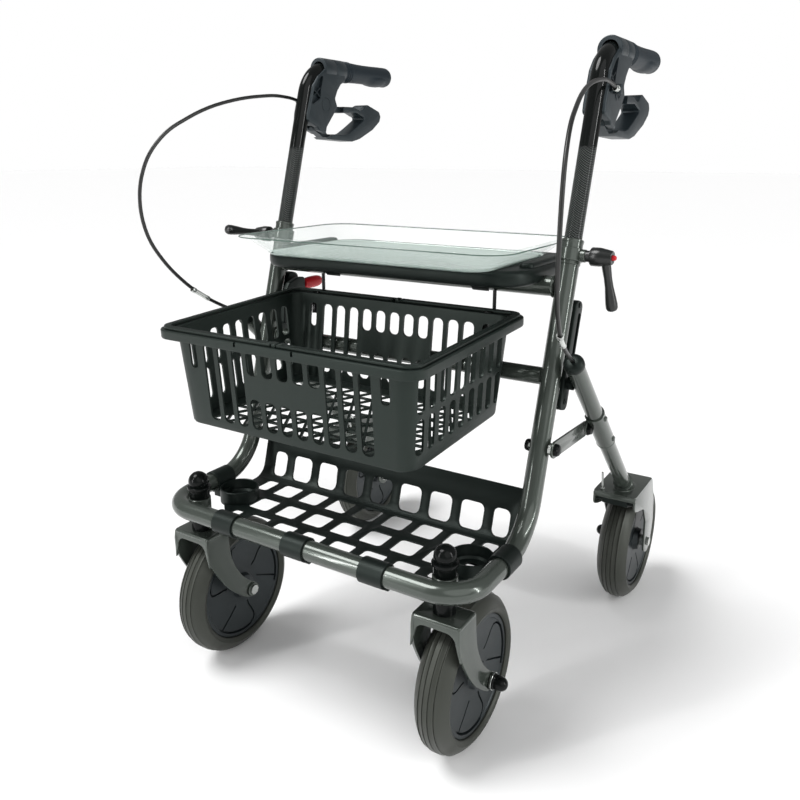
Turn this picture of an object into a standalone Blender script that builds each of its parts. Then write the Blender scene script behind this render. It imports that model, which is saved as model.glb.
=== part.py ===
"""Four-wheeled walking frame with a seat, a tray and a basket. Units are metres, +Z is up.

One bent steel tube makes the front, the side rails and the two uprights. The rear legs slide on
guide rails behind the uprights and are held by links, so that the frame folds. The front is -Y,
the user walks behind it at +Y, the floor is z = 0 and the right-hand side is +X.
"""

import math

import bmesh
import bpy
from mathutils import Matrix, Vector

# Clearances
GAP = 0.0003
RUN = 0.0004
SIDES = (("left", -1), ("right", 1))

# Bent main tube
TUBE_R = 0.0127
RAIL_X = 0.232
RAIL_Z = 0.251
FRONT_Y = -0.302
HEEL_Y = -0.1417
LEAN = math.radians(17)
CORNER_BEND = 0.045
HEEL_BEND = 0.075
UPRIGHT_LENGTH = 0.372
PIN_HOLE_R = 0.0023
PIN_HOLE_DROP = 0.034

# Head tubes, their bearings and the casters
HEAD_R = 0.015
HEAD_BORE_R = 0.010
HEAD_INSET_X = 0.038
HEAD_INSET_Y = 0.025
HEAD_UP = 0.0095
HEAD_DOWN = 0.016
BEARING_BODY_R = 0.0138
BEARING_COLLAR_R = 0.0160
BEARING_COLLAR = 0.0165
BEARING_FLANGE = 0.0040
BEARING_NECK_R = 0.0125
DOME_R = 0.0138
DOME_RISE = 0.0067
SPACER_R = 0.0135
SPACER_HEIGHT = 0.0214
STEM_R = 0.006
FORK_SHEET = 0.004
FORK_TOP_HALF = 0.031
FORK_ARM_HALF = 0.0366
FORK_LIP = 0.010
TRAIL = 0.056
ARM_END_R = 0.0105

# Wheels
WHEEL_SIDES = 24
WHEEL_R = 0.100
TYRE_HALF = 0.0235
SEAT_R = 0.0770
HUB_RIM_HALF = 0.0180
HUB_WEB_HALF = 0.0125
HUB_BOSS_R = 0.0200
HUB_BOSS_HALF = 0.0215
AXLE_R = 0.0059
AXLE_COLLAR_R = 0.0095
BOLT_HEAD_R = 0.0072
BOLT_HEAD = 0.0028
DOME_NUT_R = 0.0085
DOME_NUT = 0.0170
REAR_X = 0.260
REAR_Y = 0.235

# Rear legs
LEG_X = 0.2645
LEG_R = 0.0115
LEG_BORE_R = 0.0101
LEG_TOP = Vector((0, -0.0888, 0.4706))
LEG_FOOT = Vector((0, 0.1800, 0.2102))
CAP_R = 0.0130
CAP_HEIGHT = 0.0120
CAP_PLUG = 0.0100
SLIDER_DOWN = 0.0480
SLIDER_PIN_R = 0.0040
WASHER_R = 0.0080
BRACKET_HALF = 0.0330
BRACKET_SHEET = 0.0030
BRACKET_FRONT = 0.1380
BRACKET_TOP = 0.2140
SOCKET_R = 0.0150
SOCKET_HEIGHT = 0.0080
SHOE_PIVOT = Vector((0, 0.1500, 0.1990))
SHOE_PIN_R = 0.0040
SHOE_HALF = 0.0200

# Guide rail, link and pivot bolts
GUIDE_LOW = 0.1690
GUIDE_HIGH = 0.3090
GUIDE_INNER_X = 0.2200
GUIDE_OUTER_X = 0.2455
GUIDE_MARGIN = 0.0085
SLOT_LOW = 0.1960
SLOT_HIGH = 0.2940
SLOT_DEPTH = 0.0100
LINK_PIVOT = 0.1203
LINK_HALF_WIDTH = 0.0110
LINK_INNER_X = 0.2495
LINK_SHEET = 0.0030
LUG_DOWN = 0.1425
LUG_FORWARD = 0.0159
LUG_SHEET = 0.0030
PIVOT_BOLT_R = 0.0040
PIVOT_HEAD_R = 0.0070
PIVOT_HEAD = 0.0045
CLAMP_SLEEVE = 0.0020
CLAMP_FROM = 0.122
CLAMP_TO = 0.205

# Cross tubes
UPPER_TUBE_DROP = 0.0510
MIDDLE_TUBE_R = 0.0112
MIDDLE_TUBE_UP = 0.2080
MIDDLE_TUBE_BACK = 0.0110
TUBE_END_INSET = 0.0125
CROSS_TUBE_WALL = 0.0012

# Height collars and their clamp levers
HANDLE_R = 0.0111
COLLAR_R = 0.0140
COLLAR_BELOW = 0.0230
COLLAR_ABOVE = 0.0085
BAND_R = 0.0162
BAND_LOW = -0.0180
BAND_HIGH = -0.0030
BOSS_R = 0.0080
BOSS_X = 0.2522
CLAMP_SCREW_R = 0.0030
HUB_NECK_R = 0.0070
LEVER_HUB_R = 0.0115
LEVER_HUB_END_R = 0.0085
LEVER_HUB_X = 0.2580
LEVER_HUB_LENGTH = 0.0275
LEVER_ARM_R = 0.0055
LEVER_TIP_R = 0.0075
LEVER_ARM = 0.0600
LEVER_TIP_X = 0.2880
BUTTON_R = 0.0034
BUTTON_PROUD = 0.0045

# Handles
HANDLE_WALL = 0.0014
HANDLE_BOTTOM = 0.2040
HANDLE_BEND = 0.055
GRIP_Z = 0.8455
GRIP_BACK = 0.0789
GRIP_LENGTH = 0.1320
GRIP_R = 0.0155
GRIP_RIB = 0.0010
GRIP_RIBS = 3
RING_R = 0.0168
RING_BACK = 0.0229
HOUSING_HALF = 0.0150
LEVER_PIVOT_BACK = 0.0208
LEVER_PIVOT_DROP = 0.0535
LEVER_PIN_R = 0.0030
TONGUE_HALF = 0.0060
LEVER_HALF = 0.0130
LEVER_CLEAR_R = 0.0490
LUG_BACK = 0.0099
LUG_DROP = 0.0495
LUG_HALF = 0.0060
CABLE_R = 0.0025
FERRULE_R = 0.0042
ADJUSTER_R = 0.0035

# Shelf
SHELF_TOP = 0.2320
SHELF_SHEET = 0.0025
SHELF_HALF = 0.2190
SHELF_FRONT = -0.2880
SHELF_BAND_TOP = 0.3020
SHELF_PITCH_X = 0.0480
SHELF_PITCH_Y = 0.0510
SHELF_HOLE_X = 0.0300
SHELF_HOLE_Y = 0.0300
SHELF_ROW_Y = -0.1505
SHELF_FRONT_ROW_Y = -0.2465
CLIP_R = 0.0156
CLIP_WIDTH = 0.0340
CLIP_PITCH = 0.1160
SIDE_CLIP_Y = -0.2000
SHELF_CORNER_X = 0.1340
SHELF_CORNER_Y = -0.2100
CUP_X = 0.1900
CUP_Y = -0.2040
CUP_R = 0.0280
CUP_WALL = 0.0025
CUP_TOP = 0.2500
CUP_HOLE = 0.0230

# Seat and tray
SEAT_SIDE_CLEARANCE = 0.0108
SEAT_FRONT = -0.1300
SEAT_REAR = 0.0900
SEAT_LIFT = 0.0007
SEAT_PANEL = 0.0085
SEAT_DEPTH = 0.0210
SEAT_SKIRT = 0.0040
SEAT_CORNER = 0.0500
SEAT_RIDGE = 0.0060
SEAT_RIDGE_X = 0.1820
HINGE_CLIP_X = 0.1200
HINGE_CLIP_WIDTH = 0.0240
HINGE_CLIP_WALL = 0.0025
TRAY_SIDE_CLEARANCE = 0.0083
TRAY_FRONT = -0.1820
TRAY_REAR = 0.0700
TRAY_DEPTH = 0.0264
TRAY_BASE_HALF = 0.1690
TRAY_BASE_FRONT = -0.1540
TRAY_BASE_REAR = 0.0450
TRAY_WALL = 0.0025
TRAY_RIM = 0.0080
TRAY_CORNER = 0.0380
TRAY_BASE_CORNER = 0.0300

# Basket
BASKET_HALF = 0.1910
BASKET_FRONT = -0.3350
BASKET_REAR = -0.0600
BASKET_BASE_HALF = 0.1690
BASKET_BASE_FRONT = -0.3160
BASKET_BASE_REAR = -0.0940
BASKET_BASE_Z = 0.3850
BASKET_HEIGHT = 0.1245
BASKET_RIM = 0.0100
BASKET_RIM_OUT = 0.0150
BASKET_WALL = 0.0025
BASKET_CORNER = 0.0220
BASKET_TILT = math.radians(2.5)
SLOT_PITCH = 0.0230
SLOT_WIDTH = 0.0165
SIDE_SLOT_PITCH = 0.0233
SIDE_SLOT_WIDTH = 0.0140
LONE_SLOT_X = 0.1410
LONE_SLOT_WIDTH = 0.0115
FLOOR_SLOT_PITCH = 0.0253
BAIL_INSET = 0.0045
BAIL_WIDTH = 0.0090
BAIL_SHEET = 0.0040
BAIL_KNUCKLE = 0.0035
BAIL_END_GAP = 0.0010
BAIL_PIVOT_IN = 0.0015
HANGER_X = 0.1400
HANGER_R = 0.0025

# Fold lock on the left upright
LOCK_X = 0.2045
LOCK_HALF = 0.0040
LOCK_UP = 0.2610
LOCK_BACK = -0.0050
LOCK_PIN_R = 0.0035
LOCK_GRIP_HALF = 0.0070

UP = Vector((0, math.sin(LEAN), math.cos(LEAN)))
BACK = Vector((0, math.cos(LEAN), -math.sin(LEAN)))
OUT = Vector((1, 0, 0))
BEND = Vector((0, HEEL_Y + math.tan(LEAN) * (GRIP_Z - RAIL_Z), GRIP_Z))
GRIP_START = BEND.y + GRIP_BACK
GRIP_END = GRIP_START + GRIP_LENGTH
RING_START = BEND.y + RING_BACK
LEVER_PIVOT = BEND + Vector((0, LEVER_PIVOT_BACK, -LEVER_PIVOT_DROP))
LUG_Y = BEND.y + LUG_BACK
LUG_Z = BEND.z - LUG_DROP
UPPER_TUBE_UP = UPRIGHT_LENGTH - UPPER_TUBE_DROP
SEAT_HALF = RAIL_X - BAND_R - SEAT_SIDE_CLEARANCE
TRAY_HALF = RAIL_X - BAND_R - TRAY_SIDE_CLEARANCE
SEAT_TOP = (RAIL_Z + UPPER_TUBE_UP * math.cos(LEAN) + TUBE_R + 2 * GAP + HINGE_CLIP_WALL + SEAT_PANEL
            + SEAT_LIFT)
TUBE_BORE_R = HANDLE_R + 2 * RUN
CLIP_BORE_R = TUBE_R + 2 * GAP
TUBE_SIDES = 12
HEAD_X = RAIL_X - HEAD_INSET_X
HEAD_Y = FRONT_Y + HEAD_INSET_Y
HEAD_TOP = RAIL_Z + HEAD_UP
HEAD_BOTTOM = RAIL_Z - HEAD_DOWN
FORK_TOP = HEAD_BOTTOM - SPACER_HEIGHT - 2 * GAP
LEG_DOWN = (LEG_FOOT - LEG_TOP).normalized()
LEG_AHEAD = Vector((0, LEG_DOWN.z, -LEG_DOWN.y))
SLIDER = LEG_TOP + LEG_DOWN * SLIDER_DOWN
LUG = LEG_TOP + LEG_DOWN * LUG_DOWN + LEG_AHEAD * LUG_FORWARD
FRONT_AXLE = Vector((0, HEAD_Y + TRAIL, WHEEL_R))
REAR_AXLE = Vector((0, REAR_Y, WHEEL_R))

FINISHES = {
    "bronze paint": ((0.16, 0.17, 0.15), 0.35, 0.75),
    "gloss black tube": ((0.012, 0.013, 0.014), 0.18, 0.60),
    "black plastic": ((0.022, 0.025, 0.026), 0.48, 0.0),
    "grip rubber": ((0.030, 0.036, 0.038), 0.65, 0.0),
    "tyre rubber": ((0.105, 0.100, 0.088), 0.72, 0.0),
    "hub plastic": ((0.045, 0.055, 0.055), 0.50, 0.0),
    "zinc steel": ((0.62, 0.64, 0.62), 0.28, 1.0),
    "clear tray": ((0.78, 0.90, 0.85), 0.08, 0.0),
    "red plastic": ((0.45, 0.02, 0.03), 0.35, 0.0),
}

for old in list(bpy.data.objects):
    bpy.data.objects.remove(old, do_unlink=True)
ROLLATOR = bpy.data.collections.new("rollator")
CUTTERS = bpy.data.collections.new("cutters")
bpy.context.scene.collection.children.link(ROLLATOR)
bpy.context.scene.collection.children.link(CUTTERS)


def shape(name, mesh):
    """A working shape among the cutters, hidden until keep() makes it a piece."""
    body = bpy.data.objects.new(name, mesh)
    CUTTERS.objects.link(body)
    body.hide_render = True
    body.display_type = "WIRE"
    return body


def facing(place, along):
    """The matrix that puts local +Z along a direction, at a place."""
    turn = Vector((0, 0, 1)).rotation_difference(Vector(along)).to_matrix().to_4x4()
    return Matrix.Translation(place) @ turn


def from_bmesh(name, work, matrix=None):
    mesh = bpy.data.meshes.new(name)
    work.to_mesh(mesh)
    work.free()
    body = shape(name, mesh)
    if matrix is not None:
        body.matrix_world = matrix
    return body


def box(name, low, high):
    """A box between two corners, its mesh at its real size."""
    low, high = Vector(low), Vector(high)
    work = bmesh.new()
    bmesh.ops.create_cube(work, size=1)
    bmesh.ops.scale(work, vec=high - low, verts=work.verts)
    return from_bmesh(name, work, Matrix.Translation((low + high) / 2))


def rod(name, start, end, radius, sides=16, end_radius=None):
    """A cylinder or cone between two points."""
    start, end = Vector(start), Vector(end)
    work = bmesh.new()
    bmesh.ops.create_cone(work, cap_ends=True, segments=sides, radius1=radius,
                          radius2=radius if end_radius is None else end_radius,
                          depth=(end - start).length)
    return from_bmesh(name, work, facing((start + end) / 2, end - start))


def ball(name, centre, radii, sides=16, rings=8):
    """A sphere or ellipsoid."""
    work = bmesh.new()
    bmesh.ops.create_uvsphere(work, u_segments=sides, v_segments=rings, radius=1)
    bmesh.ops.scale(work, vec=Vector(radii), verts=work.verts)
    return from_bmesh(name, work, Matrix.Translation(centre))


def turned(name, profile, place, along, sides=24, ring=False):
    """A turned shape: (radius, height) points down the outer side, and up the bore of a ring."""
    mesh = bpy.data.meshes.new(name)
    edges = [(i, i + 1) for i in range(len(profile) - 1)]
    if ring:
        edges.append((len(profile) - 1, 0))
    mesh.from_pydata([(radius, 0, height) for radius, height in profile], edges, [])
    body = shape(name, mesh)
    body.matrix_world = facing(place, along)
    screw = body.modifiers.new("turn", "SCREW")
    screw.steps = sides
    screw.render_steps = sides
    screw.use_merge_vertices = True
    screw.merge_threshold = 0.00001
    return body


def as_mesh(name, curve, matrix=None):
    """A curve's solid as a closed mesh, so that it can be cut and joined."""
    path = bpy.data.objects.new(name + " path", curve)
    bpy.context.scene.collection.objects.link(path)
    bpy.context.view_layer.update()
    graph = bpy.context.evaluated_depsgraph_get()
    mesh = bpy.data.meshes.new_from_object(path.evaluated_get(graph))
    bpy.data.objects.remove(path, do_unlink=True)
    bpy.data.curves.remove(curve)
    work = bmesh.new()
    work.from_mesh(mesh)
    bmesh.ops.remove_doubles(work, verts=work.verts, dist=0.00001)
    bmesh.ops.recalc_face_normals(work, faces=work.faces)
    work.to_mesh(mesh)
    work.free()
    mesh.materials.clear()
    body = shape(name, mesh)
    if matrix is not None:
        body.matrix_world = matrix
    return body


def sweep(name, points, radius, sides=12):
    """A round tube, solid inside, along a path."""
    curve = bpy.data.curves.new(name, "CURVE")
    curve.dimensions = "3D"
    curve.bevel_depth = radius
    curve.bevel_resolution = (sides - 4) // 2
    curve.use_fill_caps = True
    spline = curve.splines.new("POLY")
    spline.points.add(len(points) - 1)
    for knot, point in zip(spline.points, points):
        knot.co = (*point, 1)
    return as_mesh(name, curve)


def plate(name, outline, thickness, matrix, edge=0.0):
    """A flat outline with a thickness, its edges softened by edge."""
    curve = bpy.data.curves.new(name, "CURVE")
    curve.dimensions = "2D"
    curve.fill_mode = "BOTH"
    curve.extrude = thickness / 2 - edge
    curve.bevel_depth = edge
    curve.bevel_resolution = 0
    curve.offset = -edge
    spline = curve.splines.new("POLY")
    spline.points.add(len(outline) - 1)
    for knot, point in zip(spline.points, outline):
        knot.co = (point[0], point[1], 0, 1)
    spline.use_cyclic_u = True
    return as_mesh(name, curve, matrix)


def side_plate(name, outline, low_x, high_x, edge=0.0):
    """A plate whose outline is in Y and Z, between two values of X."""
    turn = Matrix(((0, 0, 1, 0), (1, 0, 0, 0), (0, 1, 0, 0), (0, 0, 0, 1)))
    place = Matrix.Translation(((low_x + high_x) / 2, 0, 0))
    return plate(name, outline, abs(high_x - low_x), place @ turn, edge)


def level_plate(name, outline, low_z, high_z, edge=0.0):
    """A plate whose outline is in X and Y, between two heights."""
    return plate(name, outline, high_z - low_z, Matrix.Translation((0, 0, (low_z + high_z) / 2)), edge)


def bent(points, radii, steps=4):
    """The path through some corner points, each corner bent to its radius."""
    points = [Vector(point) for point in points]
    path = [points[0]]
    for before, corner, after, radius in zip(points, points[1:], points[2:], radii):
        into = (corner - before).normalized()
        away = (after - corner).normalized()
        angle = into.angle(away)
        start = corner - into * radius * math.tan(angle / 2)
        inward = (away - into * into.dot(away)).normalized()
        for i in range(steps + 1):
            part = angle * i / steps
            path.append(start + inward * radius * (1 - math.cos(part)) + into * radius * math.sin(part))
    path.append(points[-1])
    return path


def rounded(outline, radius, steps=3):
    """A closed outline in a plane with each of its corners rounded to one radius."""
    flat = [Vector((a, b, 0)) for a, b in outline]
    result = []
    for i, corner in enumerate(flat):
        before, after = flat[i - 1], flat[(i + 1) % len(flat)]
        into = (corner - before).normalized()
        away = (after - corner).normalized()
        reach = radius * math.tan(into.angle(away) / 2)
        limit = min((corner - before).length, (after - corner).length) * 0.45
        fitted = radius * min(1, limit / reach) if reach else radius
        for point in bent([before, corner, after], [fitted], steps)[1:-1]:
            result.append((point.x, point.y))
    return result


def smooth_path(points, steps):
    """A smooth path through hand-chosen points, several steps from each one to the next."""
    points = [Vector(point) for point in points]
    ends = [points[0] * 2 - points[1]] + points + [points[-1] * 2 - points[-2]]
    path = []
    for a, b, c, d in zip(ends, ends[1:], ends[2:], ends[3:]):
        for i in range(steps):
            t = i / steps
            path.append(0.5 * (2 * b + (c - a) * t + (2 * a - 5 * b + 4 * c - d) * t ** 2
                               + (3 * b - a - 3 * c + d) * t ** 3))
    path.append(points[-1])
    return path


def lofted(name, levels, steps=3):
    """A closed solid through rounded rectangles (z, half width, front, rear, corner radius)."""
    work = bmesh.new()
    rings = []
    for z, half, front, rear, corner in levels:
        outline = rounded([(-half, front), (half, front), (half, rear), (-half, rear)], corner, steps)
        rings.append([work.verts.new((x, y, z)) for x, y in outline])
    for lower, upper in zip(rings, rings[1:]):
        for i in range(len(lower)):
            j = (i + 1) % len(lower)
            work.faces.new((lower[i], lower[j], upper[j], upper[i]))
    work.faces.new(list(reversed(rings[0])))
    work.faces.new(rings[-1])
    bmesh.ops.recalc_face_normals(work, faces=work.faces)
    return from_bmesh(name, work)


def combine(piece, tool, operation):
    """One Boolean step on a piece; the tool follows the piece."""
    tool.parent = piece
    tool.matrix_parent_inverse = piece.matrix_basis.inverted()
    step = piece.modifiers.new(tool.name, "BOOLEAN")
    step.operation = operation
    step.object = tool
    step.solver = "EXACT"


def cut(piece, *tools):
    for tool in tools:
        combine(piece, tool, "DIFFERENCE")


def weld(piece, *tools):
    for tool in tools:
        combine(piece, tool, "UNION")


def carrier(name, place):
    """An empty on a joint's axis, which the joint's pieces hang from."""
    empty = bpy.data.objects.new(name, None)
    ROLLATOR.objects.link(empty)
    empty.location = place
    empty.empty_display_size = 0.02
    return empty


def keep(piece, finish, parent=None):
    """Make a shape a piece of the walking frame, with its own material."""
    CUTTERS.objects.unlink(piece)
    ROLLATOR.objects.link(piece)
    piece.hide_render = False
    piece.display_type = "TEXTURED"
    colour, roughness, metallic = FINISHES[finish]
    material = bpy.data.materials.new(piece.name + " " + finish)
    material.use_nodes = True
    shader = material.node_tree.nodes["Principled BSDF"]
    shader.inputs["Base Color"].default_value = (*colour, 1)
    shader.inputs["Roughness"].default_value = roughness
    shader.inputs["Metallic"].default_value = metallic
    if finish == "clear tray":
        shader.inputs["Transmission Weight"].default_value = 0.9
    piece.data.materials.append(material)
    piece.data.shade_smooth()
    piece.data.set_sharp_from_angle(angle=math.radians(35))
    if parent:
        piece.parent = parent
        piece.matrix_parent_inverse = parent.matrix_basis.inverted()
    return piece


def upright(side, along, back=0.0):
    """A place on an upright: along it from the heel, and square to it towards the rear."""
    return Vector((side * RAIL_X, HEEL_Y, RAIL_Z)) + UP * along + BACK * back


def at_side(side, x, place):
    """A place given in Y and Z, at a distance from the middle plane on one side."""
    return Vector((side * x, place[1], place[2]))


def main_tube_path(extra=0.0):
    top = UPRIGHT_LENGTH + extra
    corners = [upright(-1, top), upright(-1, 0), (-RAIL_X, FRONT_Y, RAIL_Z),
               (RAIL_X, FRONT_Y, RAIL_Z), upright(1, 0), upright(1, top)]
    return bent(corners, [HEEL_BEND, CORNER_BEND, CORNER_BEND, HEEL_BEND])


def main_frame():
    """The bent tube with a head tube in each front corner, bored for handles, stems and bolts."""
    frame = sweep("main_frame", main_tube_path(), TUBE_R, TUBE_SIDES)
    for _, side in SIDES:
        head = Vector((side * HEAD_X, HEAD_Y, 0))
        weld(frame, rod("head tube", head + Vector((0, 0, HEAD_BOTTOM)), head + Vector((0, 0, HEAD_TOP)),
                        HEAD_R, 14))
    cut(frame, sweep("tube bore", main_tube_path(0.002), TUBE_BORE_R, TUBE_SIDES))
    for _, side in SIDES:
        head = Vector((side * HEAD_X, HEAD_Y, RAIL_Z))
        cut(frame, rod("head bore", head - Vector((0, 0, 0.03)), head + Vector((0, 0, 0.03)),
                       HEAD_BORE_R, 12))
        bolt = upright(side, LINK_PIVOT)
        cut(frame, rod("link bolt hole", bolt - OUT * 0.02, bolt + OUT * 0.02, PIVOT_BOLT_R + RUN, 12))
        pin = upright(side, UPRIGHT_LENGTH - PIN_HOLE_DROP)
        cut(frame, rod("pin hole", pin, pin + OUT * side * 0.02, PIN_HOLE_R, 10))
    keep(frame, "bronze paint")


def cross_tube(name, radius, along, back):
    """A tube between the uprights, its ends shaped to their round sides."""
    centre = upright(0, along, back)
    reach = OUT * (RAIL_X - TUBE_END_INSET)
    tube = rod(name, centre - reach, centre + reach, radius, 20)
    past = OUT * RAIL_X
    cut(tube, rod("tube inside", centre - past, centre + past, radius - CROSS_TUBE_WALL, 16))
    for _, side in SIDES:
        cut(tube, rod("cope", upright(side, along - 0.05), upright(side, along + 0.05), TUBE_R + GAP, 24))
    keep(tube, "bronze paint")


def shelf():
    """The moulded shelf: a flat grid, a wall that sweeps up at the rear, clips and two cups."""
    rear = upright(0, (SHELF_BAND_TOP - RAIL_Z) / math.cos(LEAN))
    wall_y = rear.y + TUBE_R * 1.9
    low = SHELF_TOP - SHELF_SHEET
    top_side = bent([(0, SHELF_FRONT, SHELF_TOP), (0, wall_y - 0.020, SHELF_TOP),
                     (0, wall_y, SHELF_BAND_TOP)], [0.024], 4)
    outline = [(p.y, p.z) for p in top_side]
    under = bent([(0, SHELF_FRONT, low), (0, wall_y - 0.020 + SHELF_SHEET, low),
                  (0, wall_y + SHELF_SHEET, SHELF_BAND_TOP)], [0.0265], 4)
    outline += [(p.y, p.z) for p in reversed(under)]
    body = side_plate("shelf", outline, -SHELF_HALF, SHELF_HALF)
    for _, side in SIDES:
        slope = (SHELF_CORNER_Y - SHELF_FRONT) / (SHELF_HALF - SHELF_CORNER_X)
        corner = [(side * (SHELF_CORNER_X - 0.01), SHELF_FRONT - 0.01 * slope),
                  (side * (SHELF_HALF + 0.01), SHELF_FRONT - 0.01 * slope),
                  (side * (SHELF_HALF + 0.01), SHELF_CORNER_Y + 0.01 * slope)]
        if side < 0:
            corner.reverse()
        cut(body, level_plate("corner cut", corner, low - 0.01, SHELF_TOP + 0.01))
        cup = Vector((side * CUP_X, CUP_Y, 0))
        weld(body, rod("cup", cup + Vector((0, 0, low)), cup + Vector((0, 0, CUP_TOP)), CUP_R, 20))
        cut(body, rod("cup inside", cup + Vector((0, 0, SHELF_TOP)), cup + Vector((0, 0, CUP_TOP + 0.01)),
                      CUP_R - CUP_WALL, 20))
        cut(body, box("cup drain", (cup.x - CUP_HOLE / 2, CUP_Y - CUP_HOLE / 2, low - 0.005),
                      (cup.x + CUP_HOLE / 2, CUP_Y + CUP_HOLE / 2, SHELF_TOP + 0.005)))
    half_x, half_y = SHELF_HOLE_X / 2, SHELF_HOLE_Y / 2
    openings = []
    for column in range(-3, 4):
        for row in range(2):
            openings.append((column * SHELF_PITCH_X, SHELF_ROW_Y - row * SHELF_PITCH_Y, half_x, half_y))
        if column < 3:
            openings.append(((column + 0.5) * SHELF_PITCH_X, SHELF_FRONT_ROW_Y, half_x, half_y))
    for _, side in SIDES:
        openings.append((side * 3.85 * SHELF_PITCH_X, SHELF_ROW_Y, 0.009, half_y))
        openings.append((side * 3.27 * SHELF_PITCH_X, SHELF_FRONT_ROW_Y + 0.0060, 0.008, 0.0075))
    for x, y, half_x, half_y in openings:
        cut(body, box("grid opening", (x - half_x, y - half_y, low - 0.005),
                      (x + half_x, y + half_y, SHELF_TOP + 0.005)))
    for column in range(-3, 4):
        half = SHELF_HOLE_X * 0.6
        cut(body, box("rear opening", (column * SHELF_PITCH_X - half, wall_y - 0.022, SHELF_TOP + 0.006),
                      (column * SHELF_PITCH_X + half, wall_y + 0.02, SHELF_TOP + 0.038)))
    for _, side in SIDES:
        x = side * 3.85 * SHELF_PITCH_X
        cut(body, box("end opening", (x - 0.013, wall_y - 0.022, SHELF_TOP + 0.006),
                      (x + 0.013, wall_y + 0.02, SHELF_TOP + 0.038)))
    half = CLIP_WIDTH / 2
    for x in (-CLIP_PITCH, 0, CLIP_PITCH):
        front = Vector((x, FRONT_Y, RAIL_Z))
        clip = rod("front clip", front - OUT * half, front + OUT * half, CLIP_R, 12)
        weld(clip, box("clip foot", (x - half + 0.001, FRONT_Y + 0.002, low + 0.0004),
                       (x + half - 0.001, SHELF_FRONT + 0.004, RAIL_Z - 0.001)))
        cut(clip, rod("clip bore", front - OUT * (half + 0.01), front + OUT * (half + 0.01), CLIP_BORE_R, 12))
        cut(clip, box("clip mouth", (x - half - 0.01, FRONT_Y - 0.009, low - 0.01),
                      (x + half + 0.01, FRONT_Y - 0.003, RAIL_Z - 0.006)))
        weld(body, clip)
    for _, side in SIDES:
        rail = Vector((side * RAIL_X, SIDE_CLIP_Y, RAIL_Z))
        along = Vector((0, 1, 0))
        clip = rod("side clip", rail - along * half, rail + along * half, CLIP_R, 12)
        low_x, high_x = sorted((side * (SHELF_HALF - 0.006), side * (RAIL_X - 0.002)))
        weld(clip, box("side foot", (low_x, SIDE_CLIP_Y - half + 0.001, low + 0.0004),
                       (high_x, SIDE_CLIP_Y + half - 0.001, RAIL_Z - 0.001)))
        cut(clip, sweep("side bore", main_tube_path(), TUBE_R + RUN, TUBE_SIDES))
        low_x, high_x = sorted((side * (RAIL_X + 0.003), side * (RAIL_X + 0.009)))
        cut(clip, box("side mouth", (low_x, SIDE_CLIP_Y - half - 0.01, low - 0.01),
                      (high_x, SIDE_CLIP_Y + half + 0.01, RAIL_Z - 0.006)))
        weld(body, clip)
    keep(body, "black plastic")


def head_bearing(word, side):
    """The plastic bearing of a head tube: spacer below, sleeve inside, collar and dome on top."""
    sleeve_r = HEAD_BORE_R - GAP
    collar_low = HEAD_TOP + GAP
    collar_high = collar_low + BEARING_COLLAR
    dome_z = collar_high + DOME_RISE
    spacer_top = HEAD_BOTTOM - GAP
    spacer_low = spacer_top - SPACER_HEIGHT + GAP
    dome = [(DOME_R * math.sin(math.radians(a)), dome_z + DOME_R * math.cos(math.radians(a)))
            for a in range(0, 101, 20)]
    dome[0] = (0, dome_z + DOME_R)
    profile = dome + [(BEARING_NECK_R, collar_high + 0.0015), (BEARING_COLLAR_R, collar_high),
                      (BEARING_COLLAR_R, collar_high - BEARING_FLANGE),
                      (BEARING_BODY_R, collar_high - BEARING_FLANGE), (BEARING_BODY_R, collar_low),
                      (sleeve_r, collar_low), (sleeve_r, spacer_top),
                      (SPACER_R, spacer_top), (SPACER_R, spacer_low), (STEM_R + RUN, spacer_low),
                      (STEM_R + RUN, dome_z), (0, dome_z)]
    bearing = turned("head_bearing_" + word, profile, (side * HEAD_X, HEAD_Y, 0), (0, 0, 1), 12)
    keep(bearing, "black plastic")


def fork_arm_outline():
    """A trailing arm seen from the side, in Y and Z: 40 mm wide at the top, round at the axle."""
    y, z = HEAD_Y, WHEEL_R
    top = FORK_TOP
    reach = top - z
    front = [(-0.0215, 1.0), (-0.0230, 0.88), (-0.0215, 0.74), (-0.0170, 0.61),
             (-0.0075, 0.435), (0.0063, 0.235), (0.0250, 0.065), (0.0430, -0.060)]
    back = [(0.0600, 0.095), (0.0527, 0.135), (0.0390, 0.260), (0.0280, 0.407),
            (0.0200, 0.570), (0.0185, 0.715), (0.0190, 1.0)]
    end = []
    for i in range(6):
        angle = math.radians(-110 + 36 * i)
        end.append((y + TRAIL + ARM_END_R * math.cos(angle), z + ARM_END_R * math.sin(angle)))
    scale = TRAIL / 0.056
    shape_front = [(y + a * scale, z + b * reach) for a, b in front]
    shape_back = [(y + a * scale, z + b * reach) for a, b in back]
    return shape_front + end + shape_back


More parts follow.
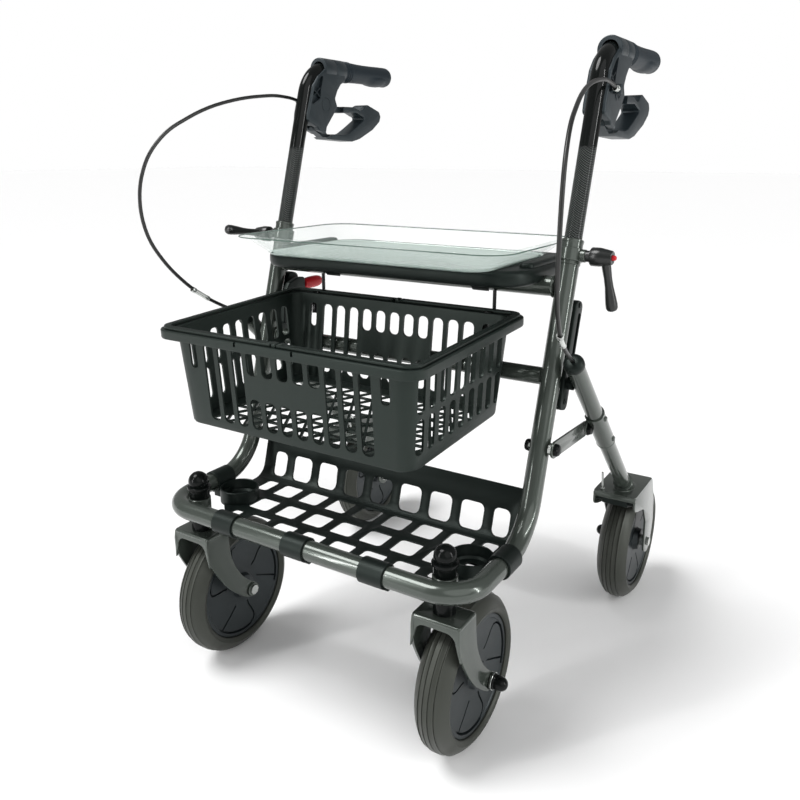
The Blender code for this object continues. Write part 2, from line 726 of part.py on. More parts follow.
def caster(word, side):
    """A swivelling fork with its stem and, on their own axle, its wheel."""
    swivel = carrier("swivel_" + word, (side * HEAD_X, HEAD_Y, FORK_TOP))
    head = Vector((side * HEAD_X, HEAD_Y, 0))
    low = FORK_TOP - FORK_SHEET
    front = HEAD_Y - 0.0215 * TRAIL / 0.056
    rear = HEAD_Y + 0.0190 * TRAIL / 0.056
    fork = box("caster_fork_" + word, (head.x - FORK_TOP_HALF, front, low), (head.x + FORK_TOP_HALF, rear, FORK_TOP))
    weld(fork, box("lip", (head.x - FORK_TOP_HALF, front, FORK_TOP - FORK_LIP),
                   (head.x + FORK_TOP_HALF, front + FORK_SHEET * 0.7, FORK_TOP)))
    lean_out = math.atan2(FORK_ARM_HALF - FORK_TOP_HALF, FORK_TOP - WHEEL_R)
    for hand in (-1, 1):
        middle = hand * (FORK_TOP_HALF - FORK_SHEET / 2)
        arm = side_plate("arm", fork_arm_outline(), middle - FORK_SHEET / 2, middle + FORK_SHEET / 2)
        arm.matrix_world = (Matrix.Translation((head.x + middle, 0, FORK_TOP))
                            @ Matrix.Rotation(hand * -lean_out, 4, "Y")
                            @ Matrix.Translation((-middle, 0, -FORK_TOP)) @ arm.matrix_basis)
        weld(fork, arm)
    weld(fork, rod("stem", head + Vector((0, 0, low)),
                   head + Vector((0, 0, HEAD_TOP + BEARING_COLLAR + DOME_RISE - 0.003)), STEM_R, 16))
    axle_at = FRONT_AXLE + OUT * head.x
    cut(fork, rod("axle hole", axle_at - OUT * 0.05, axle_at + OUT * 0.05, AXLE_R + GAP, 16))
    keep(fork, "bronze paint", swivel)
    spin = carrier("front_spin_" + word, axle_at)
    spin.parent = swivel
    spin.matrix_parent_inverse = swivel.matrix_basis.inverted()
    slack = AXLE_COLLAR_R * math.tan(lean_out)
    wheel("front_" + word, axle_at, spin)
    axle("front_axle_" + word, axle_at, side, FORK_ARM_HALF - FORK_SHEET - slack, FORK_ARM_HALF + slack, swivel)


def wheel(word, centre, spin):
    """A solid rubber tyre with a crowned tread, on a moulded hub."""
    crown = [(0.42, 1.0), (0.84, 0.920), (1.0, 0.830)]
    half = [(WHEEL_R * r, TYRE_HALF * w) for w, r in crown]
    half.append((SEAT_R, TYRE_HALF * 0.84))
    profile = [(r, h) for r, h in reversed(half)] + [(r, -h) for r, h in half]
    tyre = turned("tyre_" + word, profile, centre, OUT, WHEEL_SIDES, ring=True)
    keep(tyre, "tyre rubber", spin)
    rim = SEAT_R - GAP
    hub_half = [(AXLE_R + RUN, HUB_BOSS_HALF), (HUB_BOSS_R, HUB_BOSS_HALF), (HUB_BOSS_R + 0.002, HUB_WEB_HALF),
                (rim, HUB_RIM_HALF)]
    profile = hub_half + [(r, -h) for r, h in reversed(hub_half)]
    hub = turned("hub_" + word, profile, centre, OUT, WHEEL_SIDES, ring=True)
    keep(hub, "hub plastic", spin)


def axle(name, centre, nut_side, arm_inner, arm_outer, parent):
    """A wheel bolt: a flat head at one end, shoulders beside the hub, a domed nut at the other."""
    nut = arm_outer + GAP
    shoulder = HUB_BOSS_HALF + GAP
    profile = [(0, nut + DOME_NUT)]
    for angle in (45, 90):
        turn = math.radians(angle)
        profile.append((DOME_NUT_R * math.sin(turn), nut + DOME_NUT - DOME_NUT_R * (1 - math.cos(turn))))
    profile += [(DOME_NUT_R, nut), (AXLE_R, nut), (AXLE_R, arm_inner - GAP), (AXLE_COLLAR_R, arm_inner - GAP),
                (AXLE_COLLAR_R, shoulder), (AXLE_R, shoulder), (AXLE_R, -shoulder), (AXLE_COLLAR_R, -shoulder),
                (AXLE_COLLAR_R, GAP - arm_inner), (AXLE_R, GAP - arm_inner), (AXLE_R, -nut),
                (BOLT_HEAD_R, -nut), (BOLT_HEAD_R, -nut - BOLT_HEAD), (0, -nut - BOLT_HEAD)]
    bolt = turned(name, profile, centre, OUT * nut_side, 8)
    keep(bolt, "zinc steel", parent)


def guide_rail(word, side):
    """The slotted plastic guide behind an upright, which the leg's slider runs in."""
    slot_back = (SLIDER - upright(0, 0)).dot(BACK)
    centre = upright(0, 0, slot_back)
    front = TUBE_R + GAP
    rear = slot_back + GUIDE_MARGIN
    corners = [upright(0, GUIDE_LOW, front), upright(0, GUIDE_LOW, rear),
               upright(0, GUIDE_HIGH, rear), upright(0, GUIDE_HIGH, front)]
    outline = rounded([(p.y, p.z) for p in corners], 0.009, 3)
    low_x, high_x = sorted((side * GUIDE_INNER_X, side * GUIDE_OUTER_X))
    rail = side_plate("guide_rail_" + word, outline, low_x, high_x)
    slot_half = SLIDER_PIN_R + RUN
    corners = [centre + UP * SLOT_LOW - BACK * slot_half, centre + UP * SLOT_LOW + BACK * slot_half,
               centre + UP * SLOT_HIGH + BACK * slot_half, centre + UP * SLOT_HIGH - BACK * slot_half]
    outline = rounded([(p.y, p.z) for p in corners], slot_half * 0.9, 3)
    low_x, high_x = sorted((side * (GUIDE_OUTER_X - SLOT_DEPTH), side * (GUIDE_OUTER_X + 0.01)))
    cut(rail, side_plate("slot", outline, low_x, high_x))
    keep(rail, "black plastic")


def link_bolt(word, side):
    """The bolt through an upright that the link turns on, with its spacer."""
    wall = TUBE_R + GAP
    link_low = LINK_INNER_X - RAIL_X - GAP
    link_high = LINK_INNER_X + LINK_SHEET - RAIL_X + GAP
    profile = [(0, link_high + PIVOT_HEAD), (PIVOT_HEAD_R, link_high + PIVOT_HEAD), (PIVOT_HEAD_R, link_high),
               (PIVOT_BOLT_R, link_high), (PIVOT_BOLT_R, link_low), (WASHER_R, link_low), (WASHER_R, wall),
               (PIVOT_BOLT_R, wall), (PIVOT_BOLT_R, -wall), (PIVOT_HEAD_R, -wall),
               (PIVOT_HEAD_R, -wall - PIVOT_HEAD), (0, -wall - PIVOT_HEAD)]
    bolt = turned("link_bolt_" + word, profile, upright(side, LINK_PIVOT), OUT * side, 10)
    keep(bolt, "zinc steel")


def leg_link(word, side):
    """The flat bar from the upright to the leg."""
    start = upright(0, LINK_PIVOT)
    direction = (LUG - start).normalized()
    square = Vector((0, -direction.z, direction.y))
    outline = []
    for centre, first in ((start, 0), (LUG, 180)):
        for i in range(9):
            angle = math.radians(first + 22.5 * i)
            p = centre + (square * math.cos(angle) - direction * math.sin(angle)) * LINK_HALF_WIDTH
            outline.append((p.y, p.z))
    low_x, high_x = sorted((side * LINK_INNER_X, side * (LINK_INNER_X + LINK_SHEET)))
    bar = side_plate("leg_link_" + word, outline, low_x, high_x)
    hole = at_side(side, LINK_INNER_X, start)
    cut(bar, rod("bolt hole", hole - OUT * 0.01, hole + OUT * 0.01, PIVOT_BOLT_R + RUN, 12))
    link = carrier("link_pivot_" + word, at_side(side, LINK_INNER_X, start))
    keep(bar, "bronze paint", link)


def slide_block(word, side, slider):
    """The slider's pin, from the guide slot into the leg, with its washer."""
    start = GUIDE_OUTER_X - SLOT_DEPTH + GAP
    washer_low = GUIDE_OUTER_X + GAP
    washer_high = LEG_X - LEG_R - GAP
    profile = [(0, LEG_X), (SLIDER_PIN_R, LEG_X), (SLIDER_PIN_R, washer_high), (WASHER_R, washer_high),
               (WASHER_R, washer_low), (SLIDER_PIN_R, washer_low), (SLIDER_PIN_R, start), (0, start)]
    pin = turned("slide_block_" + word, profile, at_side(side, 0, SLIDER), OUT * side, 10)
    keep(pin, "black plastic", slider)


def bracket_outline():
    """A side plate of the rear wheel bracket, in Y and Z, from the top plate down to the axle."""
    y, z = REAR_Y, WHEEL_R
    front, top = BRACKET_FRONT + GAP, BRACKET_TOP - GAP
    return rounded([(front, top), (front, SHOE_PIVOT.z - 0.008),
                    (y - 0.080, top - 0.029), (y - 0.040, top - 0.040), (y - 0.022, z + 0.045),
                    (y - 0.019, z - 0.010), (y, z - 0.020), (y + 0.019, z - 0.012), (y + 0.027, z + 0.030),
                    (y + 0.020, z + 0.070), (y, top)], 0.008, 1)


def rear_leg(word, side, leg):
    """A rear leg: tube, wheel bracket, clamp sleeve and the lug that meets the link."""
    top = at_side(side, LEG_X, LEG_TOP)
    foot = at_side(side, LEG_X, LEG_FOOT)
    body = rod("rear_leg_" + word, top, foot + LEG_DOWN * 0.006, LEG_R, TUBE_SIDES)
    sleeve_from = top + LEG_DOWN * CLAMP_FROM
    sleeve_to = top + LEG_DOWN * CLAMP_TO
    sleeve = rod("clamp sleeve", sleeve_from, sleeve_to, LEG_R + CLAMP_SLEEVE, TUBE_SIDES)
    face = LINK_INNER_X + LINK_SHEET + 2 * GAP
    low_x, high_x = sorted((side * (face - 0.02), side * face))
    cut(sleeve, box("sleeve face", (low_x, top.y, foot.z), (high_x, foot.y, top.z)))
    weld(body, sleeve)
    lug_x = LINK_INNER_X + LINK_SHEET + 0.001
    lug_root = LUG - LEG_AHEAD * LUG_FORWARD
    corners = [lug_root - LEG_DOWN * 0.014, lug_root + LEG_DOWN * 0.020,
               LUG + LEG_DOWN * 0.009 + LEG_AHEAD * 0.006, LUG - LEG_DOWN * 0.009 + LEG_AHEAD * 0.006]
    low_x, high_x = sorted((side * lug_x, side * (lug_x + LUG_SHEET)))
    weld(body, side_plate("lug", rounded([(p.y, p.z) for p in corners], 0.006, 2), low_x, high_x))
    weld(body, rod("lug bolt", at_side(side, lug_x + LUG_SHEET * 0.5, LUG),
                   at_side(side, lug_x + LUG_SHEET + PIVOT_HEAD, LUG), PIVOT_HEAD_R, 12))
    plate_low = BRACKET_TOP - BRACKET_SHEET
    weld(body, box("bracket top", (side * REAR_X - BRACKET_HALF, BRACKET_FRONT, plate_low),
                   (side * REAR_X + BRACKET_HALF, REAR_Y - 0.001, BRACKET_TOP)))
    socket_top = foot - LEG_DOWN * (SOCKET_HEIGHT + SOCKET_R)
    weld(body, rod("socket", socket_top, foot + LEG_DOWN * 0.004, SOCKET_R, 14))
    cut(body, box("under plate", (side * REAR_X - BRACKET_HALF - 0.01, BRACKET_FRONT - 0.02, plate_low - 0.06),
                  (side * REAR_X + BRACKET_HALF + 0.01, REAR_Y + 0.04, plate_low)))
    outline = bracket_outline()
    for hand in (-1, 1):
        outer = side * REAR_X + hand * (BRACKET_HALF - GAP)
        low_x, high_x = sorted((outer, outer - hand * BRACKET_SHEET))
        weld(body, side_plate("side plate", outline, low_x, high_x))
    cut(body, rod("leg bore", top - LEG_DOWN * 0.01, foot - LEG_DOWN * 0.012, LEG_BORE_R, TUBE_SIDES))
    pin = at_side(side, LEG_X - LEG_R, SLIDER)
    cut(body, rod("slider hole", pin - OUT * 0.006, pin + OUT * 0.006, SLIDER_PIN_R + RUN, 12))
    axle_at = REAR_AXLE + OUT * side * REAR_X
    cut(body, rod("axle hole", axle_at - OUT * 0.05, axle_at + OUT * 0.05, AXLE_R + GAP, 16))
    keep(body, "bronze paint", leg)


def leg_cap(word, side, leg):
    """The plastic cap on a leg's top end, with the cable's hole."""
    hole = CABLE_R + RUN
    profile = [(CAP_R - 0.003, CAP_HEIGHT), (CAP_R, CAP_HEIGHT - 0.003), (CAP_R, GAP), (LEG_BORE_R - GAP, GAP),
               (LEG_BORE_R - GAP, -CAP_PLUG), (hole, -CAP_PLUG), (hole, CAP_HEIGHT)]
    cap = turned("leg_cap_" + word, profile, at_side(side, LEG_X, LEG_TOP), -LEG_DOWN, 12, ring=True)
    keep(cap, "black plastic", leg)


def brake_shoe(word, side, leg):
    """The shoe that presses on the rear tyre, turning on a pin under the bracket's front edge."""
    pivot = SHOE_PIVOT
    z = BRACKET_TOP - BRACKET_SHEET
    tread = []
    for angle in (124, 115, 106):
        turn = math.radians(angle)
        radius = WHEEL_R + 0.0022
        tread.append((REAR_Y + radius * math.cos(turn), WHEEL_R + radius * math.sin(turn)))
    top = z - 0.0045
    outline = [(pivot.y - 0.007, top), (pivot.y - 0.007, pivot.z - 0.006)] + tread + [(tread[-1][0], top)]
    x = side * REAR_X
    body = side_plate("brake_shoe_" + word, outline, x - SHOE_HALF, x + SHOE_HALF)
    reach = BRACKET_HALF - BRACKET_SHEET - 2 * GAP
    place = pivot + OUT * x
    weld(body, rod("shoe pin", place - OUT * reach, place + OUT * reach, SHOE_PIN_R, 12))
    hinge = carrier("shoe_pivot_" + word, place)
    hinge.parent = leg
    hinge.matrix_parent_inverse = leg.matrix_basis.inverted()
    keep(body, "black plastic", hinge)


def folding_side(word, side):
    """All that moves when one side folds: slider, leg, wheel, brake shoe and link."""
    slider = carrier("slider_" + word, at_side(side, GUIDE_OUTER_X, SLIDER))
    slide_block(word, side, slider)
    leg = carrier("leg_pivot_" + word, at_side(side, LEG_X, SLIDER))
    leg.parent = slider
    leg.matrix_parent_inverse = slider.matrix_basis.inverted()
    rear_leg(word, side, leg)
    leg_cap(word, side, leg)
    brake_shoe(word, side, leg)
    axle_at = REAR_AXLE + OUT * side * REAR_X
    spin = carrier("rear_spin_" + word, axle_at)
    spin.parent = leg
    spin.matrix_parent_inverse = leg.matrix_basis.inverted()
    wheel("rear_" + word, axle_at, spin)
    axle("rear_axle_" + word, axle_at, -side, BRACKET_HALF - BRACKET_SHEET - GAP, BRACKET_HALF, leg)
    leg_link(word, side)


def height_collar(word, side):
    """The sleeve and clamp band at an upright's top, with the clamp screw's boss."""
    end = UPRIGHT_LENGTH
    seat_r, bore_r = TUBE_R + RUN, HANDLE_R + 2 * RUN
    profile = [(COLLAR_R, COLLAR_ABOVE), (COLLAR_R, BAND_HIGH), (BAND_R, BAND_HIGH), (BAND_R, BAND_LOW),
               (COLLAR_R, BAND_LOW), (COLLAR_R, -COLLAR_BELOW), (seat_r, -COLLAR_BELOW), (seat_r, GAP),
               (bore_r, GAP), (bore_r, COLLAR_ABOVE)]
    collar = turned("height_collar_" + word, profile, upright(side, end), UP, 12, ring=True)
    screw = upright(side, end + (BAND_LOW + BAND_HIGH) / 2)
    weld(collar, rod("screw boss", screw + OUT * side * (seat_r + GAP), at_side(side, BOSS_X, screw), BOSS_R, 12))
    cut(collar, rod("screw hole", screw + OUT * side * HANDLE_R, screw + OUT * side * 0.05,
                    CLAMP_SCREW_R + RUN, 12))
    keep(collar, "bronze paint")
    return screw


def clamp_lever(word, side, screw):
    """The ratchet lever that tightens a collar, and the red button in its hub."""
    turn = carrier("clamp_turn_" + word, at_side(side, LEVER_HUB_X, screw))
    hub_end = LEVER_HUB_X + LEVER_HUB_LENGTH
    start = RAIL_X + TUBE_R + 2 * GAP
    profile = [(0, hub_end), (LEVER_HUB_END_R, hub_end), (LEVER_HUB_R, hub_end - 0.014),
               (LEVER_HUB_R, LEVER_HUB_X + 0.001), (HUB_NECK_R, LEVER_HUB_X), (HUB_NECK_R, BOSS_X + GAP),
               (CLAMP_SCREW_R, BOSS_X + GAP), (CLAMP_SCREW_R, start), (0, start)]
    lever = turned("clamp_lever_" + word, profile, at_side(side, 0, screw), OUT * side, 12)
    arm_start = at_side(side, hub_end - 0.0065, screw)
    reach = Vector((0, -LEVER_ARM, 0.010)) if side < 0 else Vector((0, 0.010, -LEVER_ARM))
    arm_end = at_side(side, LEVER_TIP_X, screw + reach)
    weld(lever, rod("arm", arm_start, arm_end, LEVER_ARM_R, 10))
    weld(lever, ball("tip", arm_end, (LEVER_ARM_R + 0.0005, LEVER_TIP_R, LEVER_TIP_R), 10, 6))
    button_in = hub_end - 0.008
    cut(lever, rod("button well", at_side(side, button_in, screw), at_side(side, hub_end + 0.01, screw),
                   BUTTON_R + RUN, 12))
    keep(lever, "black plastic", turn)
    press = carrier("button_press_" + word, at_side(side, hub_end, screw))
    press.parent = turn
    press.matrix_parent_inverse = turn.matrix_basis.inverted()
    button = rod("clamp_button_" + word, at_side(side, button_in + 0.0035, screw),
                 at_side(side, hub_end + BUTTON_PROUD, screw), BUTTON_R, 12)
    keep(button, "red plastic", press)


def handle_path(side, extra=0.0):
    """The handle tube's axis: up inside the upright, then bent to the rear."""
    bottom = upright(side, HANDLE_BOTTOM - extra)
    corner = upright(side, (GRIP_Z - RAIL_Z) / math.cos(LEAN))
    end = Vector((side * RAIL_X, GRIP_END - 0.008 + extra, GRIP_Z))
    return bent([bottom, corner, end], [HANDLE_BEND], 6)


def handle_tube(word, side, handle):
    tube = sweep("handle_tube_" + word, handle_path(side), HANDLE_R, TUBE_SIDES)
    cut(tube, sweep("handle bore", handle_path(side, 0.004), HANDLE_R - HANDLE_WALL, 8))
    keep(tube, "gloss black tube", handle)


def grip(word, side, handle):
    """The rubber grip, ribbed next to the brake ring, with a palm swell below its end."""
    start, length = GRIP_START, GRIP_END - GRIP_START
    profile = [(0, length), (GRIP_R * 0.80, length), (GRIP_R, length - 0.006)]
    for i in reversed(range(GRIP_RIBS)):
        h = 0.004 + i * 0.005
        profile += [(GRIP_R, h + 0.0035), (GRIP_R + GRIP_RIB, h + 0.0025), (GRIP_R + GRIP_RIB, h + 0.001),
                    (GRIP_R, h)]
    profile += [(GRIP_R, 0), (0, 0)]
    place = Vector((side * RAIL_X, start, GRIP_Z))
    body = turned("grip_" + word, profile, place, (0, 1, 0), 14)
    swell = Vector((side * RAIL_X, GRIP_END - 0.036, GRIP_Z - 0.006))
    weld(body, ball("palm swell", swell, (GRIP_R * 1.06, 0.034, GRIP_R * 0.72), 12, 6))
    tube_end = place + Vector((0, length - 0.008 + GAP, 0))
    cut(body, rod("grip bore", place - Vector((0, 0.01, 0)), tube_end, HANDLE_R + GAP, 16))
    keep(body, "grip rubber", handle)


def at_bend(outline):
    """An outline given from the corner of the handle's axis, put in its place in Y and Z."""
    return [(BEND.y + y, BEND.z + z) for y, z in outline]


def housing_outline():
    """The brake housing seen from the side, in Y and Z: a wedge behind the handle's bend."""
    return at_bend([(-0.0251, -0.0790), (-0.0018, -0.0875), (0.0029, -0.0925), (0.0219, -0.0990), (0.0199, -0.0907),
            (0.0318, -0.0780), (0.0416, -0.0677), (0.0517, -0.0551), (0.0462, -0.0436), (0.0527, -0.0316),
            (0.0619, -0.0215), (0.0739, -0.0155), (0.0739, 0.0000), (0.0239, 0.0000), (0.0045, -0.0125),
            (-0.0089, -0.0269), (-0.0151, -0.0443), (-0.0230, -0.0669)])


def brake_housing(word, side, handle):
    """The brake's body: a ring round the handle and two flanks that hold the lever's pin."""
    x = side * RAIL_X
    body = side_plate("brake_housing_" + word, housing_outline(), x - HOUSING_HALF, x + HOUSING_HALF)
    ring_end = GRIP_START - GAP
    profile = [(0, ring_end), (RING_R, ring_end), (RING_R, RING_START + 0.0015), (RING_R - 0.0015, RING_START),
               (0, RING_START)]
    weld(body, turned("ring", profile, (x, 0, GRIP_Z), (0, 1, 0), 14))
    pivot = LEVER_PIVOT + OUT * x
    reach = HOUSING_HALF + 0.0008
    weld(body, rod("pivot boss", pivot - OUT * reach, pivot + OUT * reach, 0.0095, 16))
    low_x, high_x = sorted((side * (RAIL_X + HOUSING_HALF - 0.003), side * (RAIL_X + HOUSING_HALF + 0.0090)))
    weld(body, box("cable lug", (low_x, LUG_Y - LUG_HALF, LUG_Z - LUG_HALF),
                   (high_x, LUG_Y + LUG_HALF, LUG_Z + LUG_HALF)))
    cut(body, sweep("handle seat", handle_path(side, 0.004), HANDLE_R + RUN, TUBE_SIDES))
    slot = [(-0.0101, -0.1105), (-0.0041, -0.0705), (0.0029, -0.0485), (0.0099, -0.0355), (0.0349, -0.0335),
            (0.0799, -0.0425), (0.0799, -0.1105)]
    cut(body, side_plate("lever slot", at_bend(slot), x - TONGUE_HALF - 0.0006, x + TONGUE_HALF + 0.0006))
    weld(body, rod("lever pin", pivot - OUT * (HOUSING_HALF - 0.002), pivot + OUT * (HOUSING_HALF - 0.002),
                   LEVER_PIN_R, 12))
    keep(body, "black plastic", handle)


def brake_lever(word, side, handle):
    """The loop lever: a tongue on the pin, and a wider loop that the fingers pull."""
    x = side * RAIL_X
    outer = [(0.0278, -0.1058), (0.0930, -0.1087), (0.1142, -0.1044), (0.1537, -0.0886), (0.1746, -0.0748),
             (0.1781, -0.0660), (0.1735, -0.0584), (0.1387, -0.0485), (0.1303, -0.0512), (0.1237, -0.0584),
             (0.1173, -0.0591), (0.0985, -0.0539), (0.0557, -0.0547), (0.0319, -0.0425), (0.0179, -0.0415),
             (0.0089, -0.0495), (0.0059, -0.0705), (0.0011, -0.0920)]
    inner = [(0.0299, -0.0976), (0.0706, -0.0985), (0.0829, -0.0961), (0.1039, -0.0862), (0.1332, -0.0707),
             (0.1203, -0.0670), (0.1057, -0.0623), (0.0725, -0.0639), (0.0557, -0.0637), (0.0456, -0.0674),
             (0.0357, -0.0779)]
    pivot = LEVER_PIVOT + OUT * x
    body = side_plate("brake_lever_" + word, at_bend(outer), x - LEVER_HALF, x + LEVER_HALF)
    for hand in (-1, 1):
        cut(body, rod("cheek clearance", pivot + OUT * hand * TONGUE_HALF, pivot + OUT * hand * 0.03,
                      LEVER_CLEAR_R, 32))
    cut(body, side_plate("finger loop", at_bend(inner), x - 0.03, x + 0.03))
    cut(body, rod("pin hole", pivot - OUT * 0.03, pivot + OUT * 0.03, LEVER_PIN_R + RUN, 12))
    turn = carrier("lever_turn_" + word, pivot)
    turn.parent = handle
    turn.matrix_parent_inverse = handle.matrix_basis.inverted()
    keep(body, "black plastic", turn)


def brake_cable(word, side):
    """The brake's cable, from the housing's lug in a wide loop down to the leg's cap."""
    lug_y = LUG_Y - LUG_HALF - GAP
    cap_top = LEG_TOP - LEG_DOWN * (CAP_HEIGHT + 2 * GAP)
    start_x = RAIL_X + HOUSING_HALF + FERRULE_R + 2 * GAP
    route = [(start_x, lug_y - 0.004, LUG_Z), (0.2522, 0.0200, 0.8005), (0.2550, -0.0150, 0.8030),
             (0.2620, -0.0780, 0.7965), (0.2730, -0.1430, 0.7800), (0.2860, -0.2050, 0.7480),
             (0.2935, -0.2340, 0.7160), (0.2975, -0.2480, 0.6780), (0.2980, -0.2500, 0.6400),
             (0.2950, -0.2420, 0.6030), (0.2880, -0.2200, 0.5660), (0.2795, -0.1860, 0.5300),
             (0.2725, -0.1480, 0.5040), (LEG_X, cap_top.y, cap_top.z)]
    path = smooth_path([(side * x, y, z) for x, y, z in route], 2)
    cable = sweep("brake_cable_" + word, path, CABLE_R, 8)
    ferrule = Vector((path[0].x, lug_y, LUG_Z))
    weld(cable, rod("ferrule", ferrule, ferrule - Vector((0, 0.012, 0)), FERRULE_R, 10))
    start, end = Vector(path[-5]), Vector(path[-3])
    weld(cable, rod("adjuster", start, end, ADJUSTER_R, 10))
    keep(cable, "black plastic")


def handle(word, side):
    """One handle: everything that goes up and down when its height is set."""
    handle_root = carrier("handle_slide_" + word, upright(side, UPRIGHT_LENGTH))
    handle_tube(word, side, handle_root)
    grip(word, side, handle_root)
    brake_housing(word, side, handle_root)
    brake_lever(word, side, handle_root)
    brake_cable(word, side)


def seat(hinge):
    """The seat board: a panel with a skirt, raised at its sides, clipped to the upper cross tube."""
    axis = upright(0, UPPER_TUBE_UP)
    low = SEAT_TOP - SEAT_DEPTH
    under = SEAT_TOP - SEAT_PANEL
    board = lofted("seat", [(low, SEAT_HALF, SEAT_FRONT, SEAT_REAR, SEAT_CORNER),
                            (SEAT_TOP - 0.004, SEAT_HALF, SEAT_FRONT, SEAT_REAR, SEAT_CORNER),
                            (SEAT_TOP, SEAT_HALF - 0.004, SEAT_FRONT + 0.004, SEAT_REAR - 0.004, SEAT_CORNER)])
    skirt = SEAT_SKIRT
    cut(board, lofted("seat underside", [(low - 0.01, SEAT_HALF - skirt, SEAT_FRONT + skirt, SEAT_REAR - skirt,
                                          SEAT_CORNER - skirt),
                                         (under, SEAT_HALF - skirt, SEAT_FRONT + skirt, SEAT_REAR - skirt,
                                          SEAT_CORNER - skirt)]))
    for _, side in SIDES:
        low_x, high_x = sorted((side * SEAT_RIDGE_X, side * (SEAT_HALF - 0.0045)))
        low_y, high_y = SEAT_FRONT + SEAT_CORNER, SEAT_REAR - SEAT_CORNER
        weld(board, box("side ridge", (low_x, low_y, SEAT_TOP - 0.002), (high_x, high_y, SEAT_TOP + SEAT_RIDGE)))
        x = side * HINGE_CLIP_X
        half = HINGE_CLIP_WIDTH / 2
        ring = TUBE_R + 2 * GAP + HINGE_CLIP_WALL
        place = Vector((x, axis.y, axis.z))
        clip = rod("hinge clip", place - OUT * half, place + OUT * half, ring, 14)
        weld(clip, box("clip web", (x - half + 0.001, axis.y - 0.009, axis.z),
                       (x + half - 0.001, axis.y + 0.009, under + 0.001)))
        weld(board, clip)
    cut(board, rod("cross tube clearance", axis - OUT * (SEAT_HALF + 0.01), axis + OUT * (SEAT_HALF + 0.01),
                   TUBE_R + 2 * GAP, 16))
    cut(board, box("clip mouth", (-SEAT_HALF + 0.02, axis.y - 0.0095, axis.z - 0.03),
                   (SEAT_HALF - 0.02, axis.y + 0.0095, axis.z - 0.005)))
    keep(board, "black plastic", hinge)


def tray(hinge):
    """The clear tray that stands on the seat: a shallow dish with slanted walls and a flat rim."""
    low = SEAT_TOP + GAP
    high = low + TRAY_DEPTH
    wall = TRAY_WALL
    corner, base_corner = TRAY_CORNER, TRAY_BASE_CORNER
    dish = lofted("tray", [(low, TRAY_BASE_HALF, TRAY_BASE_FRONT, TRAY_BASE_REAR, base_corner),
                           (high - wall, TRAY_HALF - TRAY_RIM, TRAY_FRONT + TRAY_RIM, TRAY_REAR - TRAY_RIM,
                            corner - TRAY_RIM / 2),
                           (high - wall, TRAY_HALF, TRAY_FRONT, TRAY_REAR, corner),
                           (high, TRAY_HALF, TRAY_FRONT, TRAY_REAR, corner)])
    inner = TRAY_RIM + wall
    cut(dish, lofted("tray inside", [(low + wall, TRAY_BASE_HALF - wall, TRAY_BASE_FRONT + wall,
                                      TRAY_BASE_REAR - wall, base_corner - wall),
                                     (high + 0.002, TRAY_HALF - inner, TRAY_FRONT + inner, TRAY_REAR - inner,
                                      corner - TRAY_RIM)]))
    lift = carrier("tray_lift", (0, (TRAY_FRONT + TRAY_REAR) / 2, low))
    lift.parent = hinge
    lift.matrix_parent_inverse = hinge.matrix_basis.inverted()
    keep(dish, "clear tray", lift)


def basket_tilt():
    """The matrix that tips the basket about its front edge, rear end up."""
    edge = Vector((0, BASKET_FRONT, BASKET_BASE_Z + BASKET_HEIGHT))
    return Matrix.Translation(edge) @ Matrix.Rotation(BASKET_TILT, 4, "X") @ Matrix.Translation(-edge)


def basket_slots(body):
    """The slots in the basket's walls and floor, as one cutter of separate bars."""
    z, rim_low = BASKET_BASE_Z, BASKET_BASE_Z + BASKET_HEIGHT - BASKET_RIM
    bars = []
    low, mid_low, mid_high, high = z + 0.0115, z + 0.0505, z + 0.0800, rim_low - 0.0040
    y_out, x_out = 0.02, 0.03
    half = SLOT_WIDTH / 2
    for i in range(-5, 6):
        x = i * SLOT_PITCH
        spans = ((low, mid_low), (mid_high, high)) if abs(i) <= 2 else ((low, high),)
        for bottom, top in spans:
            bars.append(((x - half, BASKET_FRONT - y_out, bottom), (x + half, BASKET_REAR + y_out, top)))
    half = LONE_SLOT_WIDTH / 2
    for _, side in SIDES:
        x = side * LONE_SLOT_X
        bars.append(((x - half, BASKET_FRONT - y_out, mid_high - 0.0035), (x + half, BASKET_REAR + y_out, high)))
    middle = (BASKET_BASE_FRONT + BASKET_BASE_REAR) / 2
    half = SIDE_SLOT_WIDTH / 2
    for i in range(-4, 5):
        y = middle + i * SIDE_SLOT_PITCH
        for bottom, top in ((low + 0.0065, z + 0.0595), (z + 0.0655, high - 0.0020)):
            bars.append(((-BASKET_HALF - x_out, y - half, bottom), (BASKET_HALF + x_out, y + half, top)))
    half = SLOT_WIDTH / 2
    for i in range(-5, 6):
        x = i * FLOOR_SLOT_PITCH
        reach = (BASKET_BASE_REAR - BASKET_BASE_FRONT) / 2 - 0.025
        bars.append(((x - half, middle - reach, z - 0.01), (x + half, middle + reach, z + 0.01)))
    for bottom, top in bars:
        slot = box("slot", bottom, top)
        slot.matrix_world = basket_tilt() @ slot.matrix_basis
        cut(body, slot)


